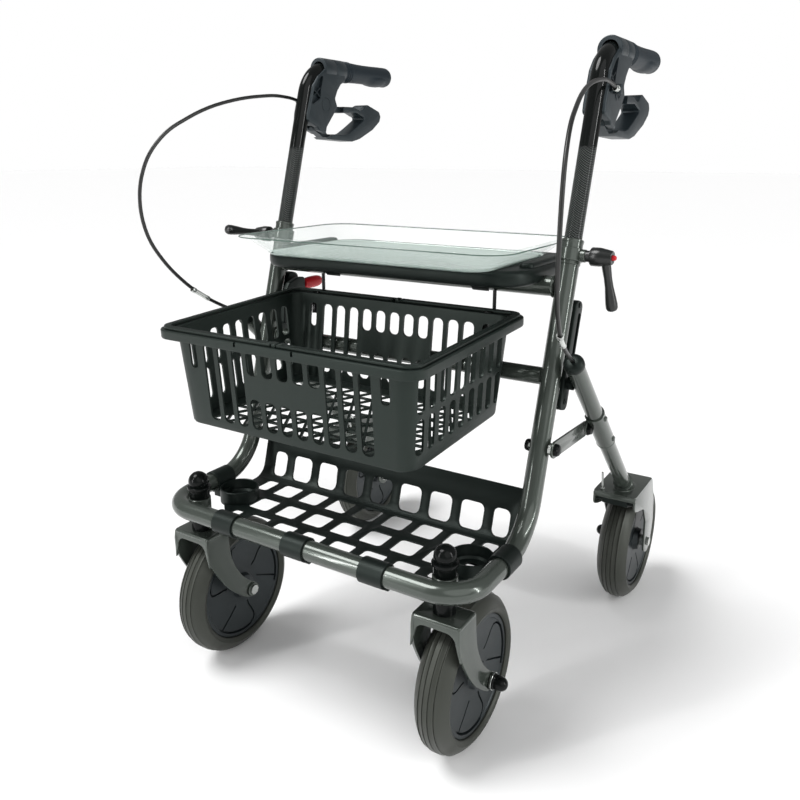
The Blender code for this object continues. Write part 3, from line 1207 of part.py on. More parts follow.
def bail(word, side, lift):
    """A carrying handle lying on the basket's rim, from pivot to pivot round one side."""
    top = BASKET_BASE_Z + BASKET_HEIGHT + GAP
    outer_x = side * (BASKET_HALF - BAIL_INSET)
    inner_x = side * (BASKET_HALF - BAIL_INSET - BAIL_WIDTH)
    start_x = side * (BAIL_KNUCKLE + BAIL_END_GAP)
    front, rear = BASKET_FRONT + BAIL_INSET, BASKET_REAR - BAIL_INSET
    corner = BASKET_CORNER - BAIL_INSET
    outline = []
    outside = bent([(start_x, front, 0), (outer_x, front, 0), (outer_x, rear, 0), (start_x, rear, 0)],
                   [corner, corner], 4)
    inside = bent([(start_x, rear - BAIL_WIDTH, 0), (inner_x, rear - BAIL_WIDTH, 0),
                   (inner_x, front + BAIL_WIDTH, 0), (start_x, front + BAIL_WIDTH, 0)],
                  [corner - BAIL_WIDTH, corner - BAIL_WIDTH], 4)
    outline = [(p.x, p.y) for p in outside + inside]
    if side < 0:
        outline.reverse()
    body = level_plate("basket_bail_" + word, outline, top, top + BAIL_SHEET)
    body.matrix_world = basket_tilt() @ body.matrix_basis
    pivot = basket_tilt() @ Vector((start_x + side * BAIL_PIVOT_IN, (front + rear) / 2, top + BAIL_SHEET / 2))
    turn = carrier("bail_turn_" + word, pivot)
    turn.parent = lift
    turn.matrix_parent_inverse = lift.matrix_basis.inverted()
    keep(body, "black plastic", turn)


def basket():
    """The slotted basket, tipped a little to the front, with its two carrying handles."""
    z, height, wall = BASKET_BASE_Z, BASKET_HEIGHT, BASKET_WALL
    under_rim = z + height - BASKET_RIM
    out = BASKET_RIM_OUT
    base_corner = BASKET_CORNER - 0.002
    body = lofted("basket", [(z, BASKET_BASE_HALF, BASKET_BASE_FRONT, BASKET_BASE_REAR, base_corner),
                             (under_rim, BASKET_HALF - out, BASKET_FRONT + out, BASKET_REAR - out, base_corner),
                             (under_rim, BASKET_HALF, BASKET_FRONT, BASKET_REAR, BASKET_CORNER),
                             (z + height, BASKET_HALF, BASKET_FRONT, BASKET_REAR, BASKET_CORNER)])
    body.matrix_world = basket_tilt()
    inside = lofted("basket inside", [(z + wall, BASKET_BASE_HALF - wall, BASKET_BASE_FRONT + wall,
                                       BASKET_BASE_REAR - wall, base_corner - wall),
                                      (z + height + 0.002, BASKET_HALF - out - wall, BASKET_FRONT + out + wall,
                                       BASKET_REAR - out - wall, base_corner - wall)])
    inside.matrix_world = basket_tilt()
    cut(body, inside)
    basket_slots(body)
    for y in (BASKET_FRONT, BASKET_REAR):
        inward = 1 if y == BASKET_FRONT else -1
        low_y, high_y = sorted((y + inward * BAIL_INSET, y + inward * (BAIL_INSET + BAIL_WIDTH)))
        post = box("bail post", (-BAIL_KNUCKLE, low_y, z + height - 0.002),
                   (BAIL_KNUCKLE, high_y, z + height + GAP + BAIL_SHEET))
        post.matrix_world = basket_tilt() @ post.matrix_basis
        weld(body, post)
    lift = carrier("basket_lift", (0, (BASKET_FRONT + BASKET_REAR) / 2, z))
    keep(body, "black plastic", lift)
    for word, side in SIDES:
        bail(word, side, lift)


def basket_hanger(word, side):
    """The wire from under the upper cross tube down behind the basket's rim, its foot under the lip."""
    tube = upright(0, UPPER_TUBE_UP)
    rim_low = basket_tilt() @ Vector((0, BASKET_REAR, BASKET_BASE_Z + BASKET_HEIGHT - BASKET_RIM))
    behind = rim_low.y + HANGER_R + 0.0010
    foot = rim_low.z - HANGER_R - 2 * GAP
    x = side * HANGER_X
    path = bent([(x, behind, tube.z), (x, behind, foot), (x, behind - 0.0092, foot)], [0.0035], 4)
    wire = sweep("basket_hanger_" + word, path, HANGER_R, 8)
    cut(wire, rod("tube clearance", tube + OUT * (x - 0.02), tube + OUT * (x + 0.02), TUBE_R + GAP, 24))
    keep(wire, "black plastic")


def fold_lock():
    """The lock lever inside the left upright, with its red grip."""
    pivot = upright(0, LOCK_UP, LOCK_BACK)
    x = -LOCK_X
    outline = [(-0.0790, 0.4680), (-0.0640, 0.4660), (-0.0480, 0.4980), (-0.0330, 0.5100), (-0.0250, 0.5120),
               (-0.0250, 0.5330), (-0.0420, 0.5340), (-0.0620, 0.5280), (-0.0740, 0.5120)]
    lever = side_plate("fold_lock_lever", rounded(outline, 0.005, 2), x - LOCK_HALF, x + LOCK_HALF)
    pin = at_side(-1, LOCK_X, pivot)
    weld(lever, rod("lock pin", pin, at_side(-1, RAIL_X - TUBE_R - GAP, pivot), LOCK_PIN_R, 12))
    turn = carrier("fold_lock_turn", pin)
    keep(lever, "black plastic", turn)
    start = -0.0250 + GAP
    red = box("fold_lock_grip", (x - LOCK_GRIP_HALF, start, 0.5125), (x + LOCK_GRIP_HALF, 0.0200, 0.5310))
    softened = red.modifiers.new("soft edges", "BEVEL")
    softened.width = 0.005
    softened.segments = 2
    keep(red, "red plastic", turn)


def seat_and_tray():
    hinge = carrier("seat_hinge", upright(0, UPPER_TUBE_UP))
    seat(hinge)
    tray(hinge)


main_frame()
cross_tube("upper_cross_tube", TUBE_R, UPPER_TUBE_UP, 0)
cross_tube("middle_cross_tube", MIDDLE_TUBE_R, MIDDLE_TUBE_UP, MIDDLE_TUBE_BACK)
shelf()
for word, side in SIDES:
    head_bearing(word, side)
    caster(word, side)
    guide_rail(word, side)
    link_bolt(word, side)
    folding_side(word, side)
    clamp_lever(word, side, height_collar(word, side))
    handle(word, side)
    basket_hanger(word, side)
seat_and_tray()
basket()
fold_lock()
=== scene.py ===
import math

import bpy
from mathutils import Matrix, Vector


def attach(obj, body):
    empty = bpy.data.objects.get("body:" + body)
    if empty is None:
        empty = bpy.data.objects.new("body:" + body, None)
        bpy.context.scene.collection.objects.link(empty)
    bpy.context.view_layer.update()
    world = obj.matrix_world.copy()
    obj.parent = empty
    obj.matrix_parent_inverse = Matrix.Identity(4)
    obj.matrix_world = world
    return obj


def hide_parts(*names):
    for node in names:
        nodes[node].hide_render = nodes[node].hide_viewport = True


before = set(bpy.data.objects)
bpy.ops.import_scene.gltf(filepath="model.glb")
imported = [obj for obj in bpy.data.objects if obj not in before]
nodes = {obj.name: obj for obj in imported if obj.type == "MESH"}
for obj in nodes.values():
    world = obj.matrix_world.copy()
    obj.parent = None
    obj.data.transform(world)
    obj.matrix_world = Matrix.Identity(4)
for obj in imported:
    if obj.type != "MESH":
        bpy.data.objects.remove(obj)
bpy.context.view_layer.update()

# Main tube. One 25 mm steel tube, bent at the front corners and at the heels, with a head tube
# brazed into each front corner. It is powder-coated in a glossy bronze-grey metallic, as are the
# forks, the rear legs, the links and the collars.
LEAN = math.radians(17)
UPRIGHT_LENGTH, TUBE_R, HEEL_BEND, CORNER_BEND = 0.372, 0.0127, 0.075, 0.045
RAIL_X, RAIL_Z, FRONT_Y, HEEL_Y = 0.232, 0.251, -0.302, -0.1417
HEAD_X, HEAD_Y, HEAD_FOOT = 0.194, -0.277, 0.235
CLOSE = 0.00001


def only(piece):
    bpy.ops.object.select_all(action="DESELECT")
    piece.select_set(True)
    bpy.context.view_layer.objects.active = piece


def upright(side, along, back=0.0):
    """A place on the leaning line of an upright, so far up it and so far behind it."""
    return Vector((side * RAIL_X, HEEL_Y + math.sin(LEAN) * along + math.cos(LEAN) * back,
                   RAIL_Z + math.cos(LEAN) * along - math.sin(LEAN) * back))


def closed_up(near=CLOSE):
    """Merge the points that are nearer than this, turn the faces outwards and leave edit mode."""
    bpy.ops.mesh.select_all(action="SELECT")
    if near:
        bpy.ops.mesh.remove_doubles(threshold=near)
    bpy.ops.mesh.normals_make_consistent(inside=False)
    bpy.ops.object.mode_set(mode="OBJECT")
    return bpy.context.object


def pipe(corners, bends, radius, sides=32, steps=10):
    """A round tube through its corners, each bent to its radius, with closed ends."""
    corners = [Vector(corner) for corner in corners]
    position = corners[0]
    heading = (corners[1] - position).normalized()
    bpy.ops.object.select_all(action="DESELECT")
    bpy.ops.mesh.primitive_circle_add(vertices=sides, radius=radius, fill_type="NGON", location=position,
                                      rotation=heading.to_track_quat("Z", "Y").to_euler())
    bpy.ops.object.transform_apply()
    bpy.ops.object.mode_set(mode="EDIT")
    bpy.ops.mesh.select_all(action="SELECT")
    for corner, following, bend in zip(corners[1:], corners[2:], bends):
        into = (corner - position).normalized()
        away = (following - corner).normalized()
        tangent = bend * math.tan(into.angle(away) / 2)
        start = corner - into * tangent
        bpy.ops.mesh.extrude_edges_move(TRANSFORM_OT_translate={"value": start - position})
        inward = (away - into * into.dot(away)).normalized()
        bpy.ops.mesh.spin(steps=steps, angle=into.angle(away), center=start + inward * bend,
                          axis=away.cross(into))
        position = corner + away * tangent
    bpy.ops.mesh.extrude_edges_move(TRANSFORM_OT_translate={"value": corners[-1] - position})
    bpy.ops.mesh.edge_face_add()
    return closed_up()


def drawn(points):
    """A line of points in edit mode, drawn by extruding one point from place to place."""
    points = [Vector(point) for point in points]
    bpy.ops.object.select_all(action="DESELECT")
    bpy.ops.mesh.primitive_plane_add(size=0.01, location=(0, 0, 0))
    bpy.ops.object.mode_set(mode="EDIT")
    bpy.ops.mesh.merge(type="CENTER")
    bpy.ops.transform.translate(value=points[0])
    for before, after in zip(points, points[1:]):
        bpy.ops.mesh.extrude_vertices_move(TRANSFORM_OT_translate={"value": after - before})
    bpy.ops.mesh.select_all(action="SELECT")
    return bpy.context.object


def turned(profile, centre, axis, steps=48):
    """A turned piece: points of (radius, height along the axis), spun once round."""
    centre, axis = Vector(centre), Vector(axis).normalized()
    radial = axis.orthogonal().normalized()
    drawn([centre + radial * r + axis * h for r, h in profile])
    bpy.ops.mesh.spin(steps=steps, angle=2 * math.pi, center=centre, axis=axis)
    return closed_up()


def joined(piece, *others):
    only(piece)
    for other in others:
        other.select_set(True)
    bpy.ops.object.join()
    return piece


def mirrored(piece):
    """The same piece for the other side, with its own mesh."""
    only(piece)
    bpy.ops.object.duplicate(linked=False)
    twin = bpy.context.object
    bpy.ops.object.mode_set(mode="EDIT")
    bpy.ops.mesh.select_all(action="SELECT")
    bpy.ops.transform.resize(value=(-1, 1, 1), center_override=(0, 0, 0))
    bpy.ops.mesh.flip_normals()
    bpy.ops.object.mode_set(mode="OBJECT")
    return twin


def dressed(piece, material):
    piece.data.materials.clear()
    piece.data.materials.append(material)


def fitted(piece, name, material, body, slot, *stands_for, smooth=32):
    """Give a piece its name, finish and body, and hide the solids that it stands for."""
    piece.name = name
    piece.data.name = name
    only(piece)
    bpy.ops.object.shade_smooth_by_angle(angle=math.radians(smooth))
    dressed(piece, material)
    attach(piece, body)
    if stands_for:
        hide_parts(*stands_for)


def fitted_both(piece, label, material, body, slot, solid="", smooth=32):
    """Fit a right-hand piece and its mirror image. A body that ends in _ gets the side's word."""
    for word, copy in (("left", mirrored(piece)), ("right", piece)):
        rides_on = body + word if body.endswith("_") else body
        stands_for = [solid + word] if solid else []
        fitted(copy, word + "_" + label, material, rides_on, slot, *stands_for, smooth=smooth)


def wired(tree, kind, inputs=None, **settings):
    """Add a shader node, and give each input a value or a link from another node's output."""
    added = tree.nodes.new("ShaderNode" + kind)
    for key, value in settings.items():
        setattr(added, key, value)
    for socket, value in (inputs or {}).items():
        if isinstance(value, bpy.types.NodeSocket):
            tree.links.new(value, added.inputs[socket])
        else:
            added.inputs[socket].default_value = value
    return added


def surface_group():
    """Shared by every finish: cloudy colour, patchy gloss and a fine moulded or sprayed grain."""
    tree = bpy.data.node_groups.new("surface grain", "ShaderNodeTree")
    taken = ("Colour", "Cloudiness", "Cloud size", "Roughness", "Patchiness", "Grain size")
    for way, labels in (("INPUT", taken), ("OUTPUT", ("Colour", "Roughness", "Height"))):
        for label in labels:
            kind = "NodeSocketColor" if label == "Colour" else "NodeSocketFloat"
            tree.interface.new_socket(label, in_out=way, socket_type=kind)
    given = tree.nodes.new("NodeGroupInput").outputs
    result = tree.nodes.new("NodeGroupOutput").inputs
    place = wired(tree, "TexCoord").outputs["Object"]
    clouds = wired(tree, "TexNoise", {"Vector": place, "Scale": given["Cloud size"], "Detail": 3})
    patches = wired(tree, "TexNoise", {"Vector": place, "Scale": 34, "Detail": 4})
    grain = wired(tree, "TexNoise", {"Vector": place, "Scale": given["Grain size"], "Detail": 2})
    spread = wired(tree, "Math", {0: clouds.outputs["Fac"], 1: 0.5}, operation="SUBTRACT")
    value = wired(tree, "Math", {0: spread.outputs[0], 1: given["Cloudiness"], 2: 1.0},
                  operation="MULTIPLY_ADD")
    tint = wired(tree, "HueSaturation", {"Value": value.outputs[0], "Color": given["Colour"]})
    dull = wired(tree, "Math", {0: patches.outputs["Fac"], 1: 0.5}, operation="SUBTRACT")
    rough = wired(tree, "Math", {0: dull.outputs[0], 1: given["Patchiness"], 2: given["Roughness"]},
                  operation="MULTIPLY_ADD")
    tree.links.new(tint.outputs["Color"], result["Colour"])
    tree.links.new(rough.outputs[0], result["Roughness"])
    tree.links.new(grain.outputs["Fac"], result["Height"])
    return tree


SURFACE = surface_group()


def finish(name, colour, roughness, cloudiness=0.25, cloud_size=9.0, patchiness=0.12, grain_size=900.0,
           depth=0.00004, metallic=0.0, coat=0.0, tint=(1, 1, 1), specular=0.5):
    """A material of this object. Depth is the height of its grain in metres."""
    made = bpy.data.materials.new(name)
    made.use_nodes = True
    tree = made.node_tree
    shader = tree.nodes["Principled BSDF"].inputs
    shader["Metallic"].default_value = metallic
    shader["Coat Weight"].default_value = coat
    shader["Coat Roughness"].default_value = 0.06
    shader["Specular IOR Level"].default_value = specular
    shader["Specular Tint"].default_value = (*tint, 1)
    group = wired(tree, "Group", {"Colour": (*colour, 1), "Cloudiness": cloudiness, "Cloud size": cloud_size,
                                  "Roughness": roughness, "Patchiness": patchiness, "Grain size": grain_size},
                  node_tree=SURFACE, name="grain").outputs
    bump = wired(tree, "Bump", {"Strength": 0.6, "Distance": depth, "Height": group["Height"]}, name="relief")
    tree.links.new(group["Colour"], shader["Base Color"])
    tree.links.new(group["Roughness"], shader["Roughness"])
    tree.links.new(bump.outputs["Normal"], shader["Normal"])
    return made


bronze_paint = finish("bronze paint", (0.060, 0.072, 0.062), 0.22, cloudiness=0.35, cloud_size=14,
                      patchiness=0.10, grain_size=1400, depth=0.00003, metallic=0.42, coat=0.45,
                      specular=0.42)
main_tube = pipe([upright(-1, UPRIGHT_LENGTH), upright(-1, 0), (-RAIL_X, FRONT_Y, RAIL_Z),
                  (RAIL_X, FRONT_Y, RAIL_Z), upright(1, 0), upright(1, UPRIGHT_LENGTH)],
                 [HEEL_BEND, CORNER_BEND, CORNER_BEND, HEEL_BEND], TUBE_R, 40, 14)
for side in (-1, 1):
    head = turned([(0.0104, 0.0250), (0.0112, 0.0255), (0.0143, 0.0255), (0.0150, 0.0248), (0.0150, 0.0008),
                   (0.0143, 0), (0.0112, 0), (0.0104, 0.0005), (0.0104, 0.0250)],
                  (side * HEAD_X, HEAD_Y, HEAD_FOOT), (0, 0, 1), 40)
    joined(main_tube, head)
fitted(main_tube, "bent_main_tube", bronze_paint, "frame", "frame_paint", "main_frame")

# Cross tubes. Two straight tubes welded between the uprights, the upper one under the seat and a
# thinner one behind the basket, each with a low weld bead where it meets an upright.
UPPER_ALONG, CROSS_HALF = 0.321, 0.2195
for name, radius, along, back, solid in (("upper_tube", TUBE_R, UPPER_ALONG, 0.0, "upper_cross_tube"),
                                         ("middle_tube", 0.0112, 0.208, 0.011, "middle_cross_tube")):
    middle = upright(0, along, back)
    half = Vector((CROSS_HALF, 0, 0))
    tube = pipe([middle - half, middle + half], [], radius, 36)
    for side in (-1, 1):
        bead = turned([(radius - 0.001, 0), (radius + 0.0012, 0.0004), (radius + 0.0016, 0.0016),
                       (radius + 0.0008, 0.0028), (radius - 0.001, 0.0032), (radius - 0.001, 0)],
                      middle + Vector((side * (CROSS_HALF - 0.0034), 0, 0)), (side, 0, 0), 36)
        joined(tube, bead)
    fitted(tube, name, bronze_paint, "frame", "frame_paint", solid)

# Shelf. One moulding in black polypropylene: a grid floor that sweeps up into a low rear wall, five
# clips that snap over the main tube, and two cups for the feet of walking sticks.
SHELF_TOP, SHELF_SHEET, SHELF_HALF, SHELF_FRONT, UNDER_SHELF = 0.2320, 0.0025, 0.2190, -0.2880, 0.222
SWEEP_R, WALL_Y, WALL_LEAN = 0.024, -0.1401, math.radians(74.05)
COLUMN, CUP_X, CUP_Y = 0.048, 0.190, -0.204
black_plastic = finish("black plastic", (0.0048, 0.0074, 0.0066), 0.40, cloudiness=0.30, cloud_size=7,
                       patchiness=0.14, grain_size=1100, depth=0.00005, tint=(0.86, 1.0, 0.93), specular=0.22)


def arced(outline, radius, steps=5):
    """An outline in a plane with its corners rounded."""
    flat = [Vector((a, b, 0)) for a, b in outline]
    result = []
    for i, corner in enumerate(flat):
        before, after = flat[i - 1], flat[(i + 1) % len(flat)]
        into, away = (corner - before).normalized(), (after - corner).normalized()
        angle = into.angle(away)
        if angle < 0.02:
            result.append((corner.x, corner.y))
            continue
        limit = min((corner - before).length, (after - corner).length) * 0.48
        fit = min(radius, limit / math.tan(angle / 2))
        start = corner - into * fit * math.tan(angle / 2)
        inward = (away - into * into.dot(away)).normalized()
        for k in range(steps + 1):
            part = angle * k / steps
            point = start + inward * fit * (1 - math.cos(part)) + into * fit * math.sin(part)
            result.append((point.x, point.y))
    return result


def oblong(a, b):
    """The corners of a rectangle, from its range along each of two axes."""
    return [(a[0], b[0]), (a[1], b[0]), (a[1], b[1]), (a[0], b[1])]


def window(a, b, half_a, half_b, radius):
    return arced(oblong((a - half_a, a + half_a), (b - half_b, b + half_b)), radius, 4)


def plate(points, depth):
    """A flat sheet: its outline drawn, filled and extruded by its thickness."""
    drawn(points)
    bpy.ops.mesh.edge_face_add()
    bpy.ops.mesh.extrude_region_move(TRANSFORM_OT_translate={"value": Vector(depth)})
    return closed_up(near=None)


def sheet(axis, outline, at, thickness):
    """A flat sheet square to the X, Y or Z axis, its outline given in the other two coordinates."""
    place = "XYZ".index(axis)
    depth = [0, 0, 0]
    depth[place] = thickness
    return plate([spot[:place] + (at,) + spot[place:] for spot in outline], depth)


def slab(x, y, z, height):
    return sheet("Z", oblong(x, y), z, height)


def applied(piece, kind, **settings):
    """A modifier put on a piece and applied at once."""
    only(piece)
    bpy.ops.object.modifier_add(type=kind)
    modifier = piece.modifiers[-1]
    for key, value in settings.items():
        setattr(modifier, key, value)
    bpy.ops.object.modifier_apply(modifier=modifier.name)
    return piece


def softened(piece, width, segments=3, angle=35):
    return applied(piece, "BEVEL", width=width, segments=segments, limit_method="ANGLE",
                   angle_limit=math.radians(angle), use_clamp_overlap=True, harden_normals=False)


def carved(piece, tool, operation="DIFFERENCE"):
    applied(piece, "BOOLEAN", operation=operation, object=tool, solver="EXACT")
    bpy.data.objects.remove(tool, do_unlink=True)
    return piece


def swept(radius, steps=8):
    """The bend from the floor to the wall, round the middle of the sweep, as points of (y, z)."""
    turns = [WALL_LEAN * k / steps for k in range(steps + 1)]
    return [(WALL_Y + radius * math.sin(turn), SHELF_TOP + SWEEP_R - radius * math.cos(turn))
            for turn in turns]


section = [(SHELF_FRONT, SHELF_TOP)] + swept(SWEEP_R)
section += [(-0.1024, 0.3010), (-0.1016, 0.3020), (-0.0998, 0.3020)]
section += swept(SWEEP_R + SHELF_SHEET)[::-1] + [(SHELF_FRONT, SHELF_TOP - SHELF_SHEET)]
shelf = sheet("X", section, -SHELF_HALF, 2 * SHELF_HALF)
openings = [(column * COLUMN, y, 0.0172, 0.0175) for column in range(-3, 4) for y in (-0.1505, -0.2015)]
openings += [((column + 0.5) * COLUMN, -0.2490, 0.0172, 0.0170) for column in range(-3, 3)]
for side in (-1, 1):
    openings += [(side * 0.1850, -0.1495, 0.0105, 0.0165), (side * 0.1600, -0.2415, 0.0080, 0.0075)]
carved(shelf, joined(*[sheet("Z", window(*opening, 0.0055), UNDER_SHELF, 0.020) for opening in openings]))
wall_openings = [(column * COLUMN, 0.0172) for column in range(-3, 4)] + [(-0.187, 0.012), (0.187, 0.012)]
carved(shelf, joined(*[sheet("Y", window(x, 0.2545, half, 0.0175, 0.0080), -0.130, 0.050)
                       for x, half in wall_openings]))
for side in (-1, 1):
    corner = [(side * 0.1240, -0.2972), (side * 0.2290, -0.2972), (side * 0.2290, -0.2008)]
    carved(shelf, sheet("Z", corner, UNDER_SHELF, 0.020))
softened(shelf, 0.0007, 2)
for side in (-1, 1):
    drain = window(side * CUP_X, CUP_Y, 0.0115, 0.0115, 0.0040)
    carved(shelf, sheet("Z", drain, UNDER_SHELF, 0.020))
    cup = turned([(0.0001, 0), (0.0280, 0), (0.0280, 0.0201), (0.0273, 0.0208), (0.0262, 0.0208),
                  (0.0255, 0.0202), (0.0250, 0.0060), (0.0225, 0.0031), (0.0001, 0.0031)],
                 (side * CUP_X, CUP_Y, 0.2292), (0, 0, 1), 48)
    joined(shelf, carved(cup, sheet("Z", drain, UNDER_SHELF, 0.020)))
clips = [((x, FRONT_Y, RAIL_Z), (1, 0, 0), (x - 0.016, x + 0.016), (-0.3000, -0.2840), 0.0130)
         for x in (-0.116, 0, 0.116)]
clips += [((side * RAIL_X, -0.200, RAIL_Z), (0, 1, 0), (side * 0.2130, side * 0.2300), (-0.216, -0.184),
           0.0110) for side in (-1, 1)]
for centre, axis, foot_x, foot_y, height in clips:
    foot = softened(slab(foot_x, foot_y, 0.2300, height), 0.001, 2)
    clip = turned([(0.0132, -0.0170), (0.0150, -0.0170), (0.0156, -0.0164), (0.0156, 0.0164),
                   (0.0150, 0.0170), (0.0132, 0.0170), (0.0132, -0.0170)], centre, axis, 40)
    joined(shelf, clip, foot)
fitted(shelf, "grid_shelf", black_plastic, "frame", "black_plastic", "shelf")

# Steering heads. A black bearing runs through each head tube: a spacer below, a collar on top and
# a glossy domed cap over the end of the fork's stem.
DOME_R, DOME_Z = 0.0138, 0.0232
gloss_plastic = finish("glossy black plastic", (0.0040, 0.0050, 0.0048), 0.16, cloudiness=0.2,
                       patchiness=0.06, grain_size=700, depth=0.00002, specular=0.14)


def dome(radius, middle, first, last, step):
    """Part of a quarter circle, from first to last degrees off the axis, for a rounded end."""
    return [(radius * math.sin(math.radians(a)), middle + radius * math.cos(math.radians(a)))
            for a in range(first, last, step)]


bearing_profile = [(0.0001, 0.0370)] + dome(DOME_R, DOME_Z, 10, 101, 10)
bearing_profile += [(0.0126, 0.0186), (0.0125, 0.0172), (0.0152, 0.0168), (0.0158, 0.0164),
                    (0.0160, 0.0156), (0.0160, 0.0134), (0.0154, 0.0126), (0.0138, 0.0122),
                    (0.0138, 0.0010), (0.0131, 0.0002), (0.0096, 0.0002), (0.0096, -0.0262),
                    (0.0128, -0.0262), (0.0135, -0.0269), (0.0135, -0.0464), (0.0128, -0.0471),
                    (0.0064, -0.0471), (0.0064, 0.0230), (0.0001, 0.0230)]
bearing = turned(bearing_profile, (HEAD_X, HEAD_Y, 0.2608), (0, 0, 1), 44)
fitted_both(bearing, "steering_bearing", gloss_plastic, "frame", "black_plastic", "head_bearing_")

# Forks. Each is one 4 mm steel pressing, folded down at the front and sides, with two arms that
# trail back to the axle and a stem riveted through the top, painted like the frame.
FORK_TOP, WHEEL_R, TRAIL = 0.2130, 0.100, 0.056
AXLE_Y, ARM_RISE, ARM_X = HEAD_Y + TRAIL, FORK_TOP - WHEEL_R, 0.0270
SPREAD = 0.0056 / ARM_RISE
front_edge = [(-0.0215, 1.0), (-0.0230, 0.88), (-0.0220, 0.74), (-0.0175, 0.61), (-0.0125, 0.520),
              (-0.0065, 0.425), (0.0000, 0.325), (0.0075, 0.230), (0.0160, 0.140), (0.0255, 0.062),
              (0.0350, -0.010), (0.0430, -0.060)]
end_round = [(TRAIL + 0.0105 * math.cos(math.radians(a)), 0.0105 * math.sin(math.radians(a)) / ARM_RISE)
             for a in range(-110, 71, 20)]
back_edge = [(0.0600, 0.095), (0.0560, 0.115), (0.0500, 0.155), (0.0430, 0.215), (0.0360, 0.290),
             (0.0300, 0.380), (0.0250, 0.470), (0.0210, 0.570), (0.0190, 0.680), (0.0185, 0.800),
             (0.0190, 1.0)]
arm_edge = [(HEAD_Y + back, min(WHEEL_R + part * ARM_RISE, FORK_TOP - 0.0024))
            for back, part in front_edge + end_round + back_edge]
pressed = arced([(-0.2480, 0.1125), (-0.2215, 0.1130), (-0.2265, 0.0900)], 0.0015, 3)
folds = []
for hand in (-1, 1):
    outline = [(HEAD_X + hand * (ARM_X + (FORK_TOP - z) * SPREAD), y, z) for y, z in arm_edge]
    arm = softened(plate(outline, (hand * 0.0040, 0, 0)), 0.0011, 3)
    folds.append(carved(arm, sheet("X", pressed, HEAD_X + hand * 0.0351, hand * 0.01)))
    folds.append(turned([(0.0062, 0), (0.0100, 0), (0.0104, 0.0006), (0.0098, 0.0014), (0.0062, 0.0014),
                         (0.0062, 0)], (HEAD_X + hand * 0.0366, AXLE_Y, WHEEL_R), (hand, 0, 0), 32))
top = arced(oblong((HEAD_X - 0.0318, HEAD_X + 0.0318), (HEAD_Y - 0.0224, HEAD_Y + 0.0196)), 0.0045, 5)
folds.append(softened(sheet("Z", top, FORK_TOP - 0.0056, 0.0058), 0.0026, 4))
half_apron = [(0.0290, -0.0024), (0.0306, -0.0026), (0.0312, -0.0035), (0.0328, -0.0360), (0.0332, -0.0440),
              (0.0318, -0.0430), (0.0285, -0.0310)]
half_apron += [(0.0140 + 0.0125 * math.cos(math.radians(a)), -0.0235 + 0.0125 * math.sin(math.radians(a)))
               for a in range(0, 91, 15)]
apron = half_apron + [(-x, z) for x, z in reversed(half_apron)]
folds.append(softened(sheet("Y", [(HEAD_X + x, FORK_TOP + z) for x, z in apron], HEAD_Y - 0.0220, 0.0032),
                      0.0010, 3))
folds.append(turned([(0.0001, 0), (0.0150, 0), (0.0148, -0.0012), (0.0120, -0.0030), (0.0001, -0.0034)],
                    (HEAD_X, HEAD_Y, FORK_TOP - 0.004), (0, 0, 1), 32))
folds.append(turned([(0.0001, 0.0670), (0.0055, 0.0670), (0.0060, 0.0665), (0.0060, -0.0010),
                     (0.0001, -0.0010)], (HEAD_X, HEAD_Y, FORK_TOP), (0, 0, 1), 24))
fitted_both(joined(*folds), "fork", bronze_paint, "caster_", "frame_paint", "caster_fork_")

# Wheels. Solid grey-brown rubber tyres with four grooves round the tread, pressed on hubs moulded
# in dark grey plastic, whose faces have arcs, sweeps and spokes engraved between boss and rim.
REAR_X, REAR_Y, TYRE_HALF, TREAD_FALL = 0.260, 0.235, 0.0235, 0.0165
ENGRAVED_X, ENGRAVED_HALF = 0.0118, 0.0014


def crown(h):
    """The tread's radius, so far from the middle of the tyre."""
    return WHEEL_R - TREAD_FALL * (abs(h) / TYRE_HALF) ** 2.6


tread = [(0.0770, 0.0197), (0.0780, 0.0212), (0.0805, 0.0228), (0.0835, TYRE_HALF)]
tread += [(crown(h), h) for h in (0.0226, 0.0212, 0.0190, 0.0165, 0.0140, 0.0120)]
for groove in (0.0105, 0.0035):
    tread += [(crown(groove) - drop, groove + h)
              for h, drop in ((0.0009, 0), (0.0004, 0.0010), (-0.0004, 0.0010), (-0.0009, 0), (-0.0025, 0))]
rim = [(0.0063, 0.0215), (0.0150, 0.0215), (0.0165, 0.0210), (0.0172, 0.0200), (0.0180, 0.0150),
       (0.0190, 0.0136), (0.0215, 0.0131), (0.0300, 0.0138), (0.0480, 0.0154), (0.0660, 0.0166),
       (0.0700, 0.0172), (0.0712, 0.0184), (0.0745, 0.0186), (0.0760, 0.0182), (0.0767, 0.0172)]
tyre, hub = [turned(half + [(r, -h) for r, h in reversed(half)] + [half[0]], (0, 0, 0), (1, 0, 0), 96)
             for half in (tread, rim)]


def stroke(line, half):
    """The outline of a line of even width, from points of (radius, angle) on a hub's face."""
    line = [Vector((0, r * math.cos(math.radians(a)), r * math.sin(math.radians(a)))) for r, a in line]
    near, far = [], []
    for i, point in enumerate(line):
        ahead = (line[min(i + 1, len(line) - 1)] - line[max(i - 1, 0)]).normalized()
        across = Vector((0, -ahead.z, ahead.y)) * half
        near.append(point + across)
        far.append(point - across)
    return near + far[::-1]


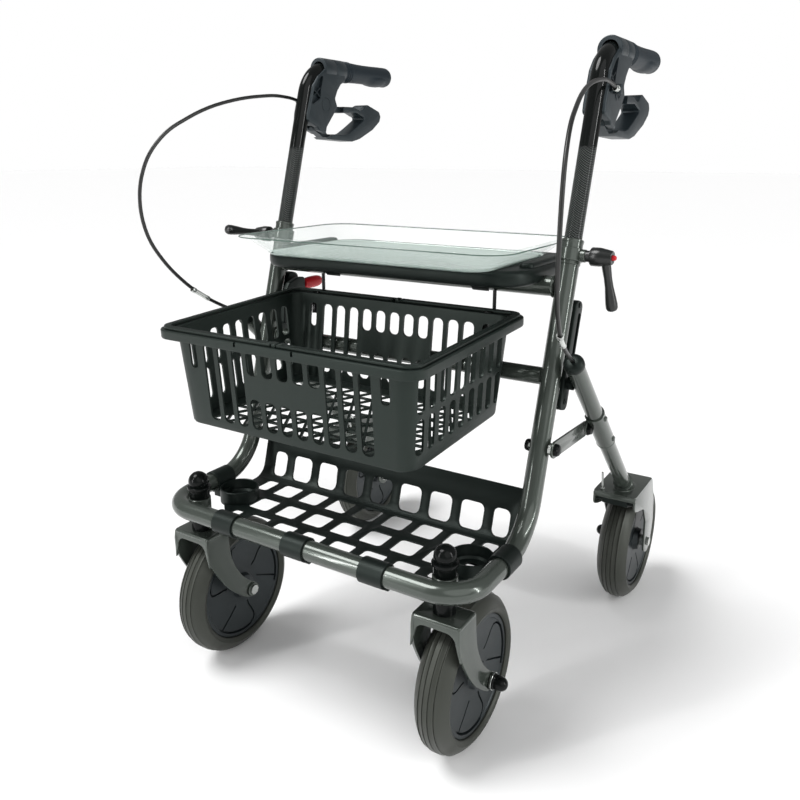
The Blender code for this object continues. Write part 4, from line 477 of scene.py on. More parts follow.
arc = [(0.0700, a) for a in range(10, 63, 4)]
sweep = [(0.0700, 62), (0.0694, 68), (0.0672, 74), (0.0630, 78), (0.0560, 79), (0.0480, 78), (0.0400, 76),
         (0.0315, 76)]
spoke = [(0.0690, 17), (0.0500, 22), (0.0315, 32)]
for face in (-1, 1):
    flip = Matrix.Scale(face, 4, (0, 1, 0))
    for third in range(3):
        turn = Matrix.Rotation(math.radians(120 * third - 150) * face, 4, "X")
        for line in (arc, sweep, spoke):
            outline = [turn @ (flip @ p) + Vector((face * ENGRAVED_X, 0, 0))
                       for p in stroke(line, ENGRAVED_HALF)]
            carved(hub, plate(outline, (face * 0.02, 0, 0)))
tyre_rubber = finish("grey-brown rubber", (0.028, 0.030, 0.025), 0.44, cloudiness=0.30, cloud_size=11,
                     patchiness=0.25, grain_size=650, depth=0.00007, tint=(0.95, 1.0, 0.92), specular=0.45)
hub_plastic = finish("dark grey hub plastic", (0.0125, 0.0165, 0.0180), 0.42, cloudiness=0.25, cloud_size=8,
                     patchiness=0.12, grain_size=1000, depth=0.00005, tint=(0.9, 0.98, 1.0), specular=0.45)


def placed(piece, offset):
    """A copy of a piece with its own mesh, moved into place."""
    only(piece)
    bpy.ops.object.duplicate(linked=False)
    copy = bpy.context.object
    bpy.ops.transform.translate(value=Vector(offset))
    bpy.ops.object.transform_apply(location=True, rotation=True, scale=True)
    return copy


for end, x, y in (("front", HEAD_X, AXLE_Y), ("rear", REAR_X, REAR_Y)):
    for word, side in (("left", -1), ("right", 1)):
        for master, label, material, slot, smooth in ((tyre, "tyre", tyre_rubber, "tyre_rubber", 32),
                                                      (hub, "hub", hub_plastic, "hub_plastic", 28)):
            fitted(placed(master, (side * x, y, WHEEL_R)), word + "_" + end + "_" + label, material,
                   end + "_wheel_" + word, slot, label + "_" + end + "_" + word, smooth=smooth)
bpy.data.objects.remove(tyre, do_unlink=True)
bpy.data.objects.remove(hub, do_unlink=True)

# Axles. Zinc-plated bolts with a shouldered washer each side of the hub; the nut's end wears a
# push-on black cap with a domed tip and a bright washer under it.
bright_zinc = finish("bright zinc", (0.55, 0.57, 0.55), 0.24, cloudiness=0.15, cloud_size=30, patchiness=0.2,
                     grain_size=1500, depth=0.00002, metallic=1.0)
for bolt in ("front_axle_", "rear_axle_", "link_bolt_"):
    for word in ("left", "right"):
        dressed(nodes[bolt + word], bright_zinc)
for end, x, y, outward, body in (("front", HEAD_X + 0.0383, AXLE_Y, 1, "caster_"),
                                 ("rear", REAR_X - 0.0334, REAR_Y, -1, "leg_")):
    cap = turned([(0.0001, 0.0190)] + dome(0.0088, 0.0102, 12, 91, 13)
                 + [(0.0088, 0.0040), (0.0098, 0.0030), (0.0100, 0.0022), (0.0098, 0.0016), (0.0001, 0.0016)],
                 (x, y, WHEEL_R), (outward, 0, 0), 32)
    fitted_both(cap, end + "_axle_cap", gloss_plastic, body, "black_plastic")
    washer = turned([(0.0060, 0), (0.0108, 0), (0.0111, 0.0003), (0.0111, 0.0012), (0.0108, 0.0015),
                     (0.0060, 0.0015), (0.0060, 0)], (x, y, WHEEL_R), (outward, 0, 0), 32)
    fitted_both(washer, end + "_axle_washer", bright_zinc, body, "zinc_steel")

# Guides. A black plastic block behind each upright, screwed to it twice, with the slot that the
# leg's pin runs in when the frame is folded; the pin is a plain black one with a shoulder.
GUIDE_X, GUIDE_WIDTH = 0.2200, 0.0255


def behind_upright(along, back, radius):
    """A rounded outline in (y, z), from its range along the upright and its range behind it."""
    corners = [upright(0, a, b) for a, b in oblong(along, back)]
    return arced([(corner.y, corner.z) for corner in corners], radius, 5)


guide = sheet("X", behind_upright((0.169, 0.309), (0.0130, 0.03764), 0.009), GUIDE_X, GUIDE_WIDTH)
softened(guide, 0.0014, 3)
carved(guide, sheet("X", behind_upright((0.196, 0.294), (0.0247, 0.0336), 0.0043), 0.2355, 0.02))
for along in (0.1800, 0.3035):
    screw = upright(0, along, 0.0255)
    joined(guide, turned([(0.0001, 0.0006), (0.0012, 0.0006), (0.0014, 0.0014), (0.0032, 0.0013),
                          (0.0036, 0.0008), (0.0036, -0.001), (0.0001, -0.001)],
                         (GUIDE_X + GUIDE_WIDTH, screw.y, screw.z), (1, 0, 0), 20))
fitted_both(guide, "slide_guide", black_plastic, "frame", "black_plastic", "guide_rail_")
for word in ("left", "right"):
    dressed(nodes["slide_block_" + word], black_plastic)

# Rear legs. A painted tube whose lower end is welded through a folded wheel bracket; half way up a
# clamped sleeve carries the lug that the link is bolted to, and a plastic cap closes the top.
LEG_X, LEG_R, LUG_X = 0.2645, 0.0115, 0.2535
LEG_TOP, LEG_FOOT = Vector((LEG_X, -0.0888, 0.4706)), Vector((LEG_X, 0.1800, 0.2102))
LEG_DOWN = (LEG_FOOT - LEG_TOP).normalized()
LEG_AHEAD = Vector((0, LEG_DOWN.z, -LEG_DOWN.y))
LUG = LEG_TOP + LEG_DOWN * 0.1425 + LEG_AHEAD * 0.0159
BRACKET_X, BRACKET_FRONT, BRACKET_TOP = (0.2272, 0.2928), 0.1382, 0.2110
leg = pipe([LEG_TOP, LEG_FOOT + LEG_DOWN * 0.006], [], LEG_R, 36)
joined(leg, turned([(0.0116, -0.0230), (0.0142, -0.0230), (0.0150, -0.0222), (0.0150, 0.0040),
                    (0.0116, 0.0040), (0.0116, -0.0230)], LEG_FOOT, LEG_DOWN, 36))
carved(leg, slab((0.2200, 0.3200), (0.1100, 0.2700), 0.1600, 0.0510))
sleeve = turned([(0.0116, 0.1220), (0.0130, 0.1220), (0.0135, 0.1226), (0.0135, 0.1250), (0.0131, 0.1256),
                 (0.0131, 0.2014), (0.0135, 0.2020), (0.0135, 0.2044), (0.0130, 0.2050), (0.0116, 0.2050),
                 (0.0116, 0.1220)], LEG_TOP, LEG_DOWN, 36)
joined(leg, carved(sleeve, slab((0.2300, 0.2531), (-0.0500, 0.1200), 0.2900, 0.1300)))
root = LUG - LEG_AHEAD * 0.0159
lug_corners = [root - LEG_DOWN * 0.014, root + LEG_DOWN * 0.020, LUG + LEG_DOWN * 0.009 + LEG_AHEAD * 0.006,
               LUG - LEG_DOWN * 0.009 + LEG_AHEAD * 0.006]
lug = sheet("X", arced([(p.y, p.z) for p in lug_corners], 0.006, 4), LUG_X, 0.0030)
joined(leg, softened(lug, 0.0006, 2))
for along in (0.1335, 0.1935):
    rivet = LEG_TOP + LEG_DOWN * along
    joined(leg, turned([(0.0001, 0.0028), (0.0026, 0.0026), (0.0036, 0.0014), (0.0038, 0), (0.0001, 0)],
                       (LEG_X + 0.0126, rivet.y, rivet.z), (1, 0, 0), 20))
top = arced(oblong(BRACKET_X, (BRACKET_FRONT, 0.2335)), 0.004, 4)
joined(leg, softened(sheet("Z", top, BRACKET_TOP, 0.0030), 0.0009, 3))
lip = arced(oblong(BRACKET_X, (0.2045, 0.2130)), 0.003, 4)
joined(leg, softened(sheet("Y", lip, BRACKET_FRONT, 0.0026), 0.0009, 3))
flank = arced([(REAR_Y + y, WHEEL_R + z) for y, z in
               [(-0.0967, 0.1137), (-0.0967, 0.0910), (-0.080, 0.0847), (-0.040, 0.0737), (-0.022, 0.045),
                (-0.019, -0.010), (0, -0.020), (0.019, -0.012), (0.027, 0.030), (0.020, 0.070), (0, 0.1137)]],
              0.011, 5)
for hand in (-1, 1):
    joined(leg, softened(sheet("X", flank, REAR_X + hand * 0.0327, -hand * 0.0030), 0.0009, 3))
bpy.ops.mesh.primitive_torus_add(major_radius=0.0153, minor_radius=0.0018, major_segments=40,
                                 minor_segments=10, location=(LEG_X, 0.1761, 0.2140))
weld = bpy.context.object
bpy.ops.transform.resize(value=(1, 1.43, 0.8))
bpy.ops.object.transform_apply()
joined(leg, weld)
fitted_both(leg, "rear_leg", bronze_paint, "leg_", "frame_paint", "rear_leg_")
leg_cap = turned([(0.0030, 0.0125), (0.0060, 0.0124), (0.0098, 0.0112), (0.0122, 0.0088), (0.0130, 0.0060),
                  (0.0130, 0.0010), (0.0126, 0.0003), (0.0098, 0.0003), (0.0098, -0.0100), (0.0030, -0.0100),
                  (0.0030, 0.0125)], LEG_TOP, -LEG_DOWN, 40)
fitted_both(leg_cap, "leg_cap", black_plastic, "leg_", "black_plastic", "leg_cap_")

# Links and their bolts. A flat steel bar from each upright to the leg's lug, with pressed edges;
# the bolts are zinc-plated with black caps, and a sleeve keeps the link off the upright.
LINK_START, LINK_END = upright(0, 0.1203), Vector((0, LUG.y, LUG.z))
LINK_X, LINK_HALF, LINK_SHEET = 0.2495, 0.0110, 0.0030
along = (LINK_END - LINK_START).normalized()
square = Vector((0, -along.z, along.y))


def dowel(radius, low, high, centre, axis, steps):
    """A plain round pin, or the drill for one, between two heights along its axis."""
    return turned([(0.0001, low), (radius, low), (radius, high), (0.0001, high)], centre, axis, steps)


bar = []
for centre, first in ((LINK_START, 0), (LINK_END, 180)):
    for step in range(13):
        angle = math.radians(first + 15 * step)
        edge = centre + (square * math.cos(angle) - along * math.sin(angle)) * LINK_HALF
        bar.append((edge.y, edge.z))
link = sheet("X", bar, LINK_X, LINK_SHEET)
carved(link, dowel(0.0044, -0.01, 0.01, (LINK_X + LINK_SHEET / 2, LINK_START.y, LINK_START.z), (1, 0, 0), 24))
softened(link, 0.0007, 3)
fitted_both(link, "link", bronze_paint, "link_", "frame_paint", "leg_link_")
for kind, place, x, outward, sides, body in (("outer", LINK_START, 0.2529, 1, 28, "frame"),
                                             ("inner", LINK_START, 0.2188, -1, 28, "frame"),
                                             ("lug", LUG, 0.2566, 1, 6, "leg_")):
    nut = turned([(0.0001, 0.0062), (0.0040, 0.0060), (0.0066, 0.0048), (0.0076, 0.0030), (0.0080, 0),
                  (0.0001, 0)], (x, place.y, place.z), (outward, 0, 0), sides)
    fitted_both(nut, kind + "_bolt_cap", gloss_plastic, body, "black_plastic")

# Brake shoes. A moulded wedge under the front of each rear bracket, on a cross pin, with a curved
# face a little off the tyre; a bright pull rod comes down to it from the leg's tube.
SHOE_FRONT, SHOE_TOP, SHOE_R = 0.1432, 0.2062, WHEEL_R + 0.0022
ROD_PLACE, ROD_AXIS = (0.2400, 0.1450, 0.2135), (0, -0.25, 1)
shoe_face = [(REAR_Y + SHOE_R * math.cos(math.radians(a)), WHEEL_R + SHOE_R * math.sin(math.radians(a)))
             for a in range(126, 105, -4)]
wedge = [(SHOE_FRONT, SHOE_TOP), (SHOE_FRONT, 0.1938)] + shoe_face + [(shoe_face[-1][0], SHOE_TOP)]
shoe = softened(sheet("X", wedge, 0.2402, 0.0396), 0.0012, 3)
joined(shoe, turned([(0.0001, -0.0292), (0.0036, -0.0292), (0.0040, -0.0288), (0.0040, 0.0288),
                     (0.0036, 0.0292), (0.0001, 0.0292)], (REAR_X, 0.150, 0.199), (1, 0, 0), 24))
fitted_both(shoe, "brake_shoe", black_plastic, "brake_shoe_", "black_plastic", "brake_shoe_")
rod = turned([(0.0001, 0), (0.0016, 0.0002), (0.0016, 0.0330), (0.0012, 0.0335), (0.0001, 0.0336)],
             ROD_PLACE, ROD_AXIS, 16)
joined(rod, dowel(0.0036, 0, 0.0032, Vector(ROD_PLACE) + Vector((0, 0, 0.0005)), ROD_AXIS, 6))
fitted_both(rod, "brake_rod", bright_zinc, "leg_", "zinc_steel")

# Height collars. A painted steel sleeve over the top of each upright, split at the back, with a
# thicker clamp band and a boss on the outside for the clamp lever's screw.
END = upright(1, UPRIGHT_LENGTH)
UP = Vector((0, math.sin(LEAN), math.cos(LEAN)))
SCREW_AXIS = upright(0, 0.3615)
collar = turned([(0.0115, 0.0085), (0.0134, 0.0085), (0.0140, 0.0079), (0.0140, 0.0050), (0.0136, 0.0044),
                 (0.0136, -0.0020), (0.0156, -0.0026), (0.0162, -0.0034), (0.0162, -0.0174),
                 (0.0156, -0.0182), (0.0138, -0.0188), (0.0138, -0.0224), (0.0132, -0.0230),
                 (0.0131, -0.0230), (0.0131, 0.0003), (0.0115, 0.0003), (0.0115, 0.0085)], END, UP, 44)
joined(collar, turned([(0.0034, 0.2453), (0.0080, 0.2453), (0.0080, 0.2514), (0.0074, 0.2522),
                       (0.0034, 0.2522), (0.0034, 0.2453)], SCREW_AXIS, (1, 0, 0), 32))
for along in (-0.0140, -0.0070):
    joined(collar, turned([(0.0001, -0.0024), (0.0014, -0.0026), (0.0022, -0.0018), (0.0024, 0), (0.0001, 0)],
                          END + UP * along - Vector((0.0158, 0, 0)), (1, 0, 0), 16))
fitted_both(collar, "height_collar", bronze_paint, "frame", "frame_paint", "height_collar_")

# Clamp levers. Black die-cast ratchet levers: a tapered hub with a splined neck, an arm that swells
# to a rounded tip, and a red push button in the hub's outer end.
ARM_ROOT = 0.2760
button_red = finish("red plastic", (0.52, 0.016, 0.024), 0.34, cloudiness=0.15, patchiness=0.06,
                    depth=0.00003, specular=0.22)
lever_black = finish("black lever", (0.0070, 0.0085, 0.0080), 0.30, cloudiness=0.2, patchiness=0.1,
                     grain_size=1300, depth=0.00004)
hub_profile = [(0.0001, 0.2812), (0.0037, 0.2812), (0.0037, 0.2852), (0.0078, 0.2855), (0.0085, 0.2848),
               (0.0100, 0.2780), (0.0112, 0.2715), (0.0115, 0.2700), (0.0115, 0.2600)]
for k in range(4):
    hub_profile += [(0.0110 - 0.0006 * k, 0.2592 - 0.0004 * k), (0.0104 - 0.0006 * k, 0.2590 - 0.0004 * k)]
hub_profile += [(0.0070, 0.2576), (0.0070, 0.2526), (0.0030, 0.2526), (0.0030, 0.2453), (0.0001, 0.2453)]
for word, side, arm in (("left", -1, Vector((-0.0090, -0.060, 0.010))),
                        ("right", 1, Vector((0.0090, 0.010, -0.060)))):
    lever = turned(hub_profile, SCREW_AXIS, (side, 0, 0), 36)
    span = arm.length
    carved(lever, turned([(0.0001, 0), (0.0058, 0.0010), (0.0056, 0.014), (0.0050, 0.026), (0.0053, 0.038),
                          (0.0066, 0.050), (0.0074, span - 0.002), (0.0073, span + 0.0030),
                          (0.0058, span + 0.0058), (0.0030, span + 0.0072), (0.0001, span + 0.0075)],
                         SCREW_AXIS + Vector((side * ARM_ROOT, 0, 0)), arm, 28), "UNION")
    carved(lever, dowel(0.0040, 0.2778, 0.2900, SCREW_AXIS, (side, 0, 0), 24))
    fitted(lever, word + "_clamp_lever", lever_black, "clamp_lever_" + word, "black_plastic",
           "clamp_lever_" + word)
    button = turned([(0.0001, 0.2900), (0.0018, 0.2897), (0.0029, 0.2888), (0.0034, 0.2872), (0.0034, 0.2810),
                     (0.0001, 0.2810)], SCREW_AXIS, (side, 0, 0), 24)
    fitted(button, word + "_clamp_button", button_red, "clamp_button_" + word, "red_plastic",
           "clamp_button_" + word)

# Handle tubes. A thinner tube in glossy black slides in each upright and bends back for the grip;
# its lower part is rolled with a fine diamond knurl, which the collar bites on.
BEND_Y, GRIP_Z, HANDLE_R, HANDLE_BEND = 0.04006, 0.8455, 0.0111, 0.055
KNURL_END, KNURL_FADE, KNURL_TURN, KNURL_SIZE = 0.728, 0.722, 35, 150
handle_paint = finish("glossy black tube", (0.0035, 0.0045, 0.0042), 0.12, cloudiness=0.2, patchiness=0.05,
                      grain_size=800, depth=0.00002, coat=0.12, specular=0.16)
tree = handle_paint.node_tree
shader = tree.nodes["Principled BSDF"].inputs
place = wired(tree, "TexCoord").outputs["Object"]
ridges = []
for turn in (KNURL_TURN, -KNURL_TURN):
    mapping = wired(tree, "Mapping", {"Vector": place, "Rotation": (-LEAN, math.radians(turn), 0)})
    waves = wired(tree, "TexWave", {"Vector": mapping.outputs["Vector"], "Scale": KNURL_SIZE},
                  wave_type="BANDS", bands_direction="Z")
    ridges.append(waves.outputs["Fac"])
crossed = wired(tree, "Math", {0: ridges[0], 1: ridges[1]}, operation="MULTIPLY")
height = wired(tree, "SeparateXYZ", {"Vector": place}).outputs["Z"]
band = wired(tree, "MapRange", {"Value": height, "From Min": KNURL_END, "From Max": KNURL_FADE})
raised = wired(tree, "Math", {0: crossed.outputs[0], 1: band.outputs["Result"]},
               operation="MULTIPLY").outputs[0]
knurl = wired(tree, "Bump", {"Strength": 1.0, "Distance": 0.0010, "Height": raised,
                             "Normal": tree.nodes["relief"].outputs["Normal"]})
# The knurl's raised ridges are coloured a lighter grey than the tube's black.
lighter_ridges = wired(tree, "Mix", {0: raised, 6: tree.nodes["grain"].outputs["Colour"], 7: (0.110, 0.125, 0.118, 1)},
             data_type="RGBA")
tree.links.new(knurl.outputs["Normal"], shader["Normal"])
tree.links.new(lighter_ridges.outputs[2], shader["Base Color"])
handle = pipe([upright(1, 0.2040), (RAIL_X, BEND_Y, GRIP_Z), (RAIL_X, 0.2430, GRIP_Z)], [HANDLE_BEND],
              HANDLE_R, 40, 18)
fitted_both(handle, "handle_tube", handle_paint, "handle_", "handle_paint", "handle_tube_")

# Grips. Slate-grey rubber sleeves with three raised rings next to the brake, a palm swell and a
# rounded flange at the end, pushed on the handle tubes.
GRIP_BORE, GRIP_END, PALM = 0.0113, 0.2436, (RAIL_X, 0.2140, GRIP_Z - 0.0064)
grip_rubber = finish("slate rubber", (0.0085, 0.0140, 0.0190), 0.50, cloudiness=0.2, cloud_size=16,
                     patchiness=0.15, grain_size=1400, depth=0.00006, tint=(0.85, 0.95, 1.0), specular=0.3)
profile = [(GRIP_BORE, 0.1190), (0.0148, 0.1190), (0.0155, 0.1196)]
for ring in range(3):
    h = 0.1232 + ring * 0.005
    profile += [(0.0155, h), (0.0165, h + 0.0008), (0.0166, h + 0.0014), (0.0165, h + 0.0022),
                (0.0155, h + 0.0032)]
profile += [(0.0155, 0.1450), (0.0150, 0.1600), (0.0148, 0.1800), (0.0152, 0.2050), (0.0158, 0.2250),
            (0.0161, 0.2400), (0.0160, 0.2455), (0.0150, 0.2490), (0.0125, 0.2507), (0.0060, 0.2510),
            (0.0001, 0.2510), (0.0001, GRIP_END), (GRIP_BORE, GRIP_END), (GRIP_BORE, 0.1190)]
grip = turned(profile, (RAIL_X, 0, GRIP_Z), (0, 1, 0), 48)
half_swell = [(0.0001, -0.034), (0.0050, -0.0310), (0.0086, -0.0250), (0.0108, -0.0170), (0.0118, -0.0080)]
swell = turned(half_swell + [(0.0120, 0)] + [(r, -h) for r, h in reversed(half_swell)], (0, 0, 0),
               (0, 1, 0), 40)
only(swell)
bpy.ops.transform.resize(value=(1.35, 1, 0.92), center_override=(0, 0, 0))
bpy.ops.transform.translate(value=PALM)
bpy.ops.object.transform_apply()
# The swell is hollowed a millimetre wider and deeper than the sleeve, so that no faces coincide.
carved(swell, dowel(GRIP_BORE + 0.001, 0.10, GRIP_END + 0.001, (RAIL_X, 0, GRIP_Z), (0, 1, 0), 48))
carved(grip, swell, "UNION")
fitted_both(grip, "grip", grip_rubber, "handle_", "grip_rubber", "grip_")

# Brakes. Each handle has a moulded housing, a wedge behind the bend with a ring round the tube and
# a webbed pocket in each flank, and a loop lever that turns on a pin between the two flanks.
PIN_Y, PIN_Z, LUG_Y, LUG_Z = BEND_Y + 0.0208, GRIP_Z - 0.0535, BEND_Y + 0.0099, GRIP_Z - 0.0495
PIVOT = (RAIL_X, PIN_Y, PIN_Z)
brake_black = finish("slate-black brake plastic", (0.0130, 0.0190, 0.0225), 0.40, cloudiness=0.3,
                     cloud_size=18, patchiness=0.14, grain_size=1200, depth=0.00005, tint=(0.88, 0.96, 1.0),
                     specular=0.45)


def at_bend(outline):
    """An outline in (y, z) that is given from the corner of the handle's bend."""
    return [(BEND_Y + y, GRIP_Z + z) for y, z in outline]


wedge = arced(at_bend([(-0.0251, -0.0790), (-0.0018, -0.0875), (0.0029, -0.0925), (0.0219, -0.0990),
                       (0.0199, -0.0907), (0.0318, -0.0780), (0.0416, -0.0677), (0.0517, -0.0551),
                       (0.0462, -0.0436), (0.0527, -0.0316), (0.0619, -0.0215), (0.0739, -0.0155),
                       (0.0739, 0.0000), (0.0239, 0.0000), (0.0045, -0.0125), (-0.0089, -0.0269),
                       (-0.0151, -0.0443), (-0.0230, -0.0669)]), 0.004, 2)
housing = softened(sheet("X", wedge, RAIL_X - 0.0150, 0.0300), 0.0028, 3)
slot = at_bend([(-0.0101, -0.1105), (-0.0041, -0.0705), (0.0029, -0.0485), (0.0099, -0.0355),
                (0.0349, -0.0335), (0.0799, -0.0425), (0.0799, -0.1105)])
carved(housing, sheet("X", slot, RAIL_X - 0.0066, 0.0132))
pocket = arced(at_bend([(0.0170, -0.0085), (0.0045, -0.0165), (-0.0062, -0.0290), (-0.0118, -0.0440),
                        (-0.0152, -0.0560), (0.0070, -0.0450), (0.0085, -0.0330), (0.0130, -0.0200)]),
               0.002, 3)
webs = (at_bend([(-0.0090, -0.0312), (0.0078, -0.0424), (0.0072, -0.0436), (-0.0096, -0.0324)]),
        at_bend([(-0.0118, -0.0440), (0.0084, -0.0300), (0.0080, -0.0288), (-0.0112, -0.0428)]))
for hand in (-1, 1):
    carved(housing, sheet("X", pocket, RAIL_X + hand * 0.0098, hand * 0.008))
for hand in (-1, 1):
    for web in webs:
        joined(housing, sheet("X", web, RAIL_X + hand * 0.0094, hand * 0.0052))
joined(housing, turned([(0.0113, 0.0632), (0.0155, 0.0630), (0.0165, 0.0636), (0.0168, 0.0650),
                        (0.0168, 0.0900), (0.0162, 0.0910), (0.0162, 0.0922), (0.0168, 0.0932),
                        (0.0168, 0.1170), (0.0160, 0.1184), (0.0113, 0.1185), (0.0113, 0.0632)],
                       (RAIL_X, 0, GRIP_Z), (0, 1, 0), 44))
carved(housing, turned([(0.0100, -0.0005), (0.0106, -0.0005), (0.0106, 0.0020), (0.0100, 0.0020),
                        (0.0100, -0.0005)], (RAIL_X - 0.0150, PIN_Y, PIN_Z), (-1, 0, 0), 44))
screw_place = (RAIL_X + 0.0146, PIN_Y, PIN_Z)
joined(housing, turned([(0.0022, -0.0002), (0.0022, 0.0004), (0.0060, 0.0004), (0.0066, 0.0010),
                        (0.0066, 0.0016), (0.0090, 0.0016), (0.0096, 0.0009), (0.0097, -0.0040),
                        (0.0022, -0.0040), (0.0022, -0.0002)], screw_place, (1, 0, 0), 36),
       turned([(0.0001, 0.0012), (0.0016, 0.0011), (0.0021, 0.0004), (0.0021, -0.003), (0.0001, -0.003)],
              screw_place, (1, 0, 0), 20), dowel(0.0030, -0.0128, 0.0128, PIVOT, (1, 0, 0), 24))
cable_lug = arced(oblong((LUG_Y - 0.006, LUG_Y + 0.006), (LUG_Z - 0.006, LUG_Z + 0.006)), 0.002, 3)
joined(housing, softened(sheet("X", cable_lug, RAIL_X + 0.0120, 0.0120), 0.0010, 2))
fitted_both(housing, "brake_housing", brake_black, "handle_", "black_plastic", "brake_housing_")
outer = arced(at_bend([(0.0278, -0.1058), (0.0930, -0.1087), (0.1142, -0.1044), (0.1537, -0.0886),
                       (0.1746, -0.0748), (0.1781, -0.0660), (0.1735, -0.0584), (0.1387, -0.0485),
                       (0.1303, -0.0512), (0.1237, -0.0584), (0.1173, -0.0591), (0.0985, -0.0539),
                       (0.0557, -0.0547), (0.0319, -0.0425), (0.0179, -0.0415), (0.0089, -0.0495),
                       (0.0059, -0.0705), (0.0011, -0.0920)]), 0.004, 2)
inner = arced(at_bend([(0.0299, -0.0976), (0.0706, -0.0985), (0.0829, -0.0961), (0.1039, -0.0862),
                       (0.1332, -0.0707), (0.1203, -0.0670), (0.1057, -0.0623), (0.0725, -0.0639),
                       (0.0557, -0.0637), (0.0456, -0.0674), (0.0357, -0.0779)]), 0.003, 3)
lever = sheet("X", outer, RAIL_X - 0.0130, 0.0260)
carved(lever, sheet("X", inner, RAIL_X - 0.03, 0.06))
softened(lever, 0.0030, 3)
for hand in (-1, 1):
    carved(lever, dowel(0.0490, 0.0060, 0.0300, PIVOT, (hand, 0, 0), 64))
carved(lever, dowel(0.0034, -0.03, 0.03, PIVOT, (1, 0, 0), 24))
fitted_both(lever, "brake_lever", brake_black, "brake_lever_", "black_plastic", "brake_lever_")

# Brake cables. Black sheathed cables that leave a crimped ferrule at each housing and loop forward
# and down to the caps of the legs; near the lower end each has a bright threaded adjuster.
CABLE_R, CABLE_X = 0.0025, RAIL_X + 0.0198
ADJUSTER_LOW, ADJUSTER_HIGH = Vector((0.2795, -0.1860, 0.5300)), Vector((0.2725, -0.1480, 0.5040))
cable_black = finish("cable sheath", (0.0080, 0.0085, 0.0080), 0.35, cloudiness=0.2, grain_size=900,
                     depth=0.00003)
route = [Vector(p) for p in [(CABLE_X, LUG_Y - 0.0103, LUG_Z), (0.2522, 0.0200, 0.8005),
                             (0.2550, -0.0150, 0.8030), (0.2620, -0.0780, 0.7965), (0.2730, -0.1430, 0.7800),
                             (0.2860, -0.2050, 0.7480), (0.2935, -0.2340, 0.7160), (0.2975, -0.2480, 0.6780),
                             (0.2980, -0.2500, 0.6400), (0.2950, -0.2420, 0.6030), (0.2880, -0.2200, 0.5660)]]
route += [ADJUSTER_LOW, ADJUSTER_HIGH, LEG_TOP - LEG_DOWN * 0.0126]
bends = []
for before, corner, after in zip(route, route[1:], route[2:]):
    into, away = corner - before, after - corner
    bends.append(0.47 * min(into.length, away.length) / math.tan(max(into.angle(away), 0.01) / 2))
fitted_both(pipe(route, bends, CABLE_R, 16, 5), "brake_cable", cable_black, "frame", "cable_sheath",
            "brake_cable_", smooth=60)
ferrule = turned([(0.0026, 0), (0.0040, 0), (0.0042, 0.0004), (0.0042, 0.0040), (0.0036, 0.0046),
                  (0.0036, 0.0104), (0.0031, 0.0112), (0.0026, 0.0112), (0.0026, 0)],
                 (CABLE_X, LUG_Y - 0.0066, LUG_Z), (0, -1, 0), 24)
fitted_both(ferrule, "cable_ferrule", bright_zinc, "frame", "zinc_steel")
profile = [(0.0026, 0.001), (0.0038, 0.001), (0.0040, 0.0014), (0.0040, 0.0070), (0.0030, 0.0074)]
for thread in range(12):
    h = 0.0080 + 0.0016 * thread
    profile += [(0.0034, h), (0.0029, h + 0.0008)]
profile += [(0.0036, 0.0280), (0.0036, 0.0330), (0.0030, 0.0336), (0.0026, 0.0336), (0.0026, 0.001)]
adjuster = turned(profile, ADJUSTER_LOW, ADJUSTER_HIGH - ADJUSTER_LOW, 24)
fitted_both(adjuster, "cable_adjuster", bright_zinc, "frame", "zinc_steel")

# Seat. One deep black moulding with a rounded edge all round, a raised lobe along each side and a
# hollow underside; two hooks under it snap over the upper cross tube, so it tips up for folding.
SEAT_TOP, SEAT_HALF, SEAT_FRONT, SEAT_REAR, SEAT_DEPTH = 0.58297, 0.2050, -0.1300, 0.0900, 0.0210
HOOK_X, HOOK_BORE = 0.120, 0.0133
AXIS = upright(0, UPPER_ALONG)


def level(half_x, front, rear, corner, z):
    """The points of a level rectangle with rounded corners, centred on the object."""
    return [(x, y, z) for x, y in arced(oblong((-half_x, half_x), (front, rear)), corner, 8)]


seat = plate(level(SEAT_HALF, SEAT_FRONT, SEAT_REAR, 0.050, SEAT_TOP - SEAT_DEPTH), (0, 0, SEAT_DEPTH))
softened(seat, 0.0075, 5)
carved(seat, plate(level(SEAT_HALF - 0.004, SEAT_FRONT + 0.004, SEAT_REAR - 0.004, 0.046, SEAT_TOP - 0.030),
                   (0, 0, 0.0215)))
for side in (-1, 1):
    lobe = arced([(side * 0.1815, -0.0830), (side * 0.2000, -0.0790), (side * 0.2003, 0.0390),
                  (side * 0.1815, 0.0430)], 0.008, 6)
    carved(seat, softened(sheet("Z", lobe, SEAT_TOP - 0.0040, 0.0100), 0.0040, 4), "UNION")
carved(seat, dowel(HOOK_BORE, -0.22, 0.22, AXIS, (1, 0, 0), 48))
for side in (-1, 1):
    hook = turned([(HOOK_BORE, -0.0120), (0.0155, -0.0120), (0.0158, -0.0116), (0.0158, 0.0116),
                   (0.0155, 0.0120), (HOOK_BORE, 0.0120), (HOOK_BORE, -0.0120)],
                  (side * HOOK_X, AXIS.y, AXIS.z), (1, 0, 0), 36)
    mouth = oblong((AXIS.y - 0.0095, AXIS.y + 0.0095), (AXIS.z - 0.03, AXIS.z - 0.005))
    joined(seat, carved(hook, sheet("X", mouth, side * HOOK_X - 0.02, 0.04)))
for x in (-0.150, -0.090, -0.030, 0.030, 0.090, 0.150):
    for rib in ((SEAT_FRONT + 0.0035, -0.0645), (-0.0310, SEAT_REAR - 0.0035)):
        joined(seat, slab((x - 0.001, x + 0.001), rib, SEAT_TOP - 0.0085, -0.0085))
fitted(seat, "seat_board", black_plastic, "seat", "black_plastic", "seat")

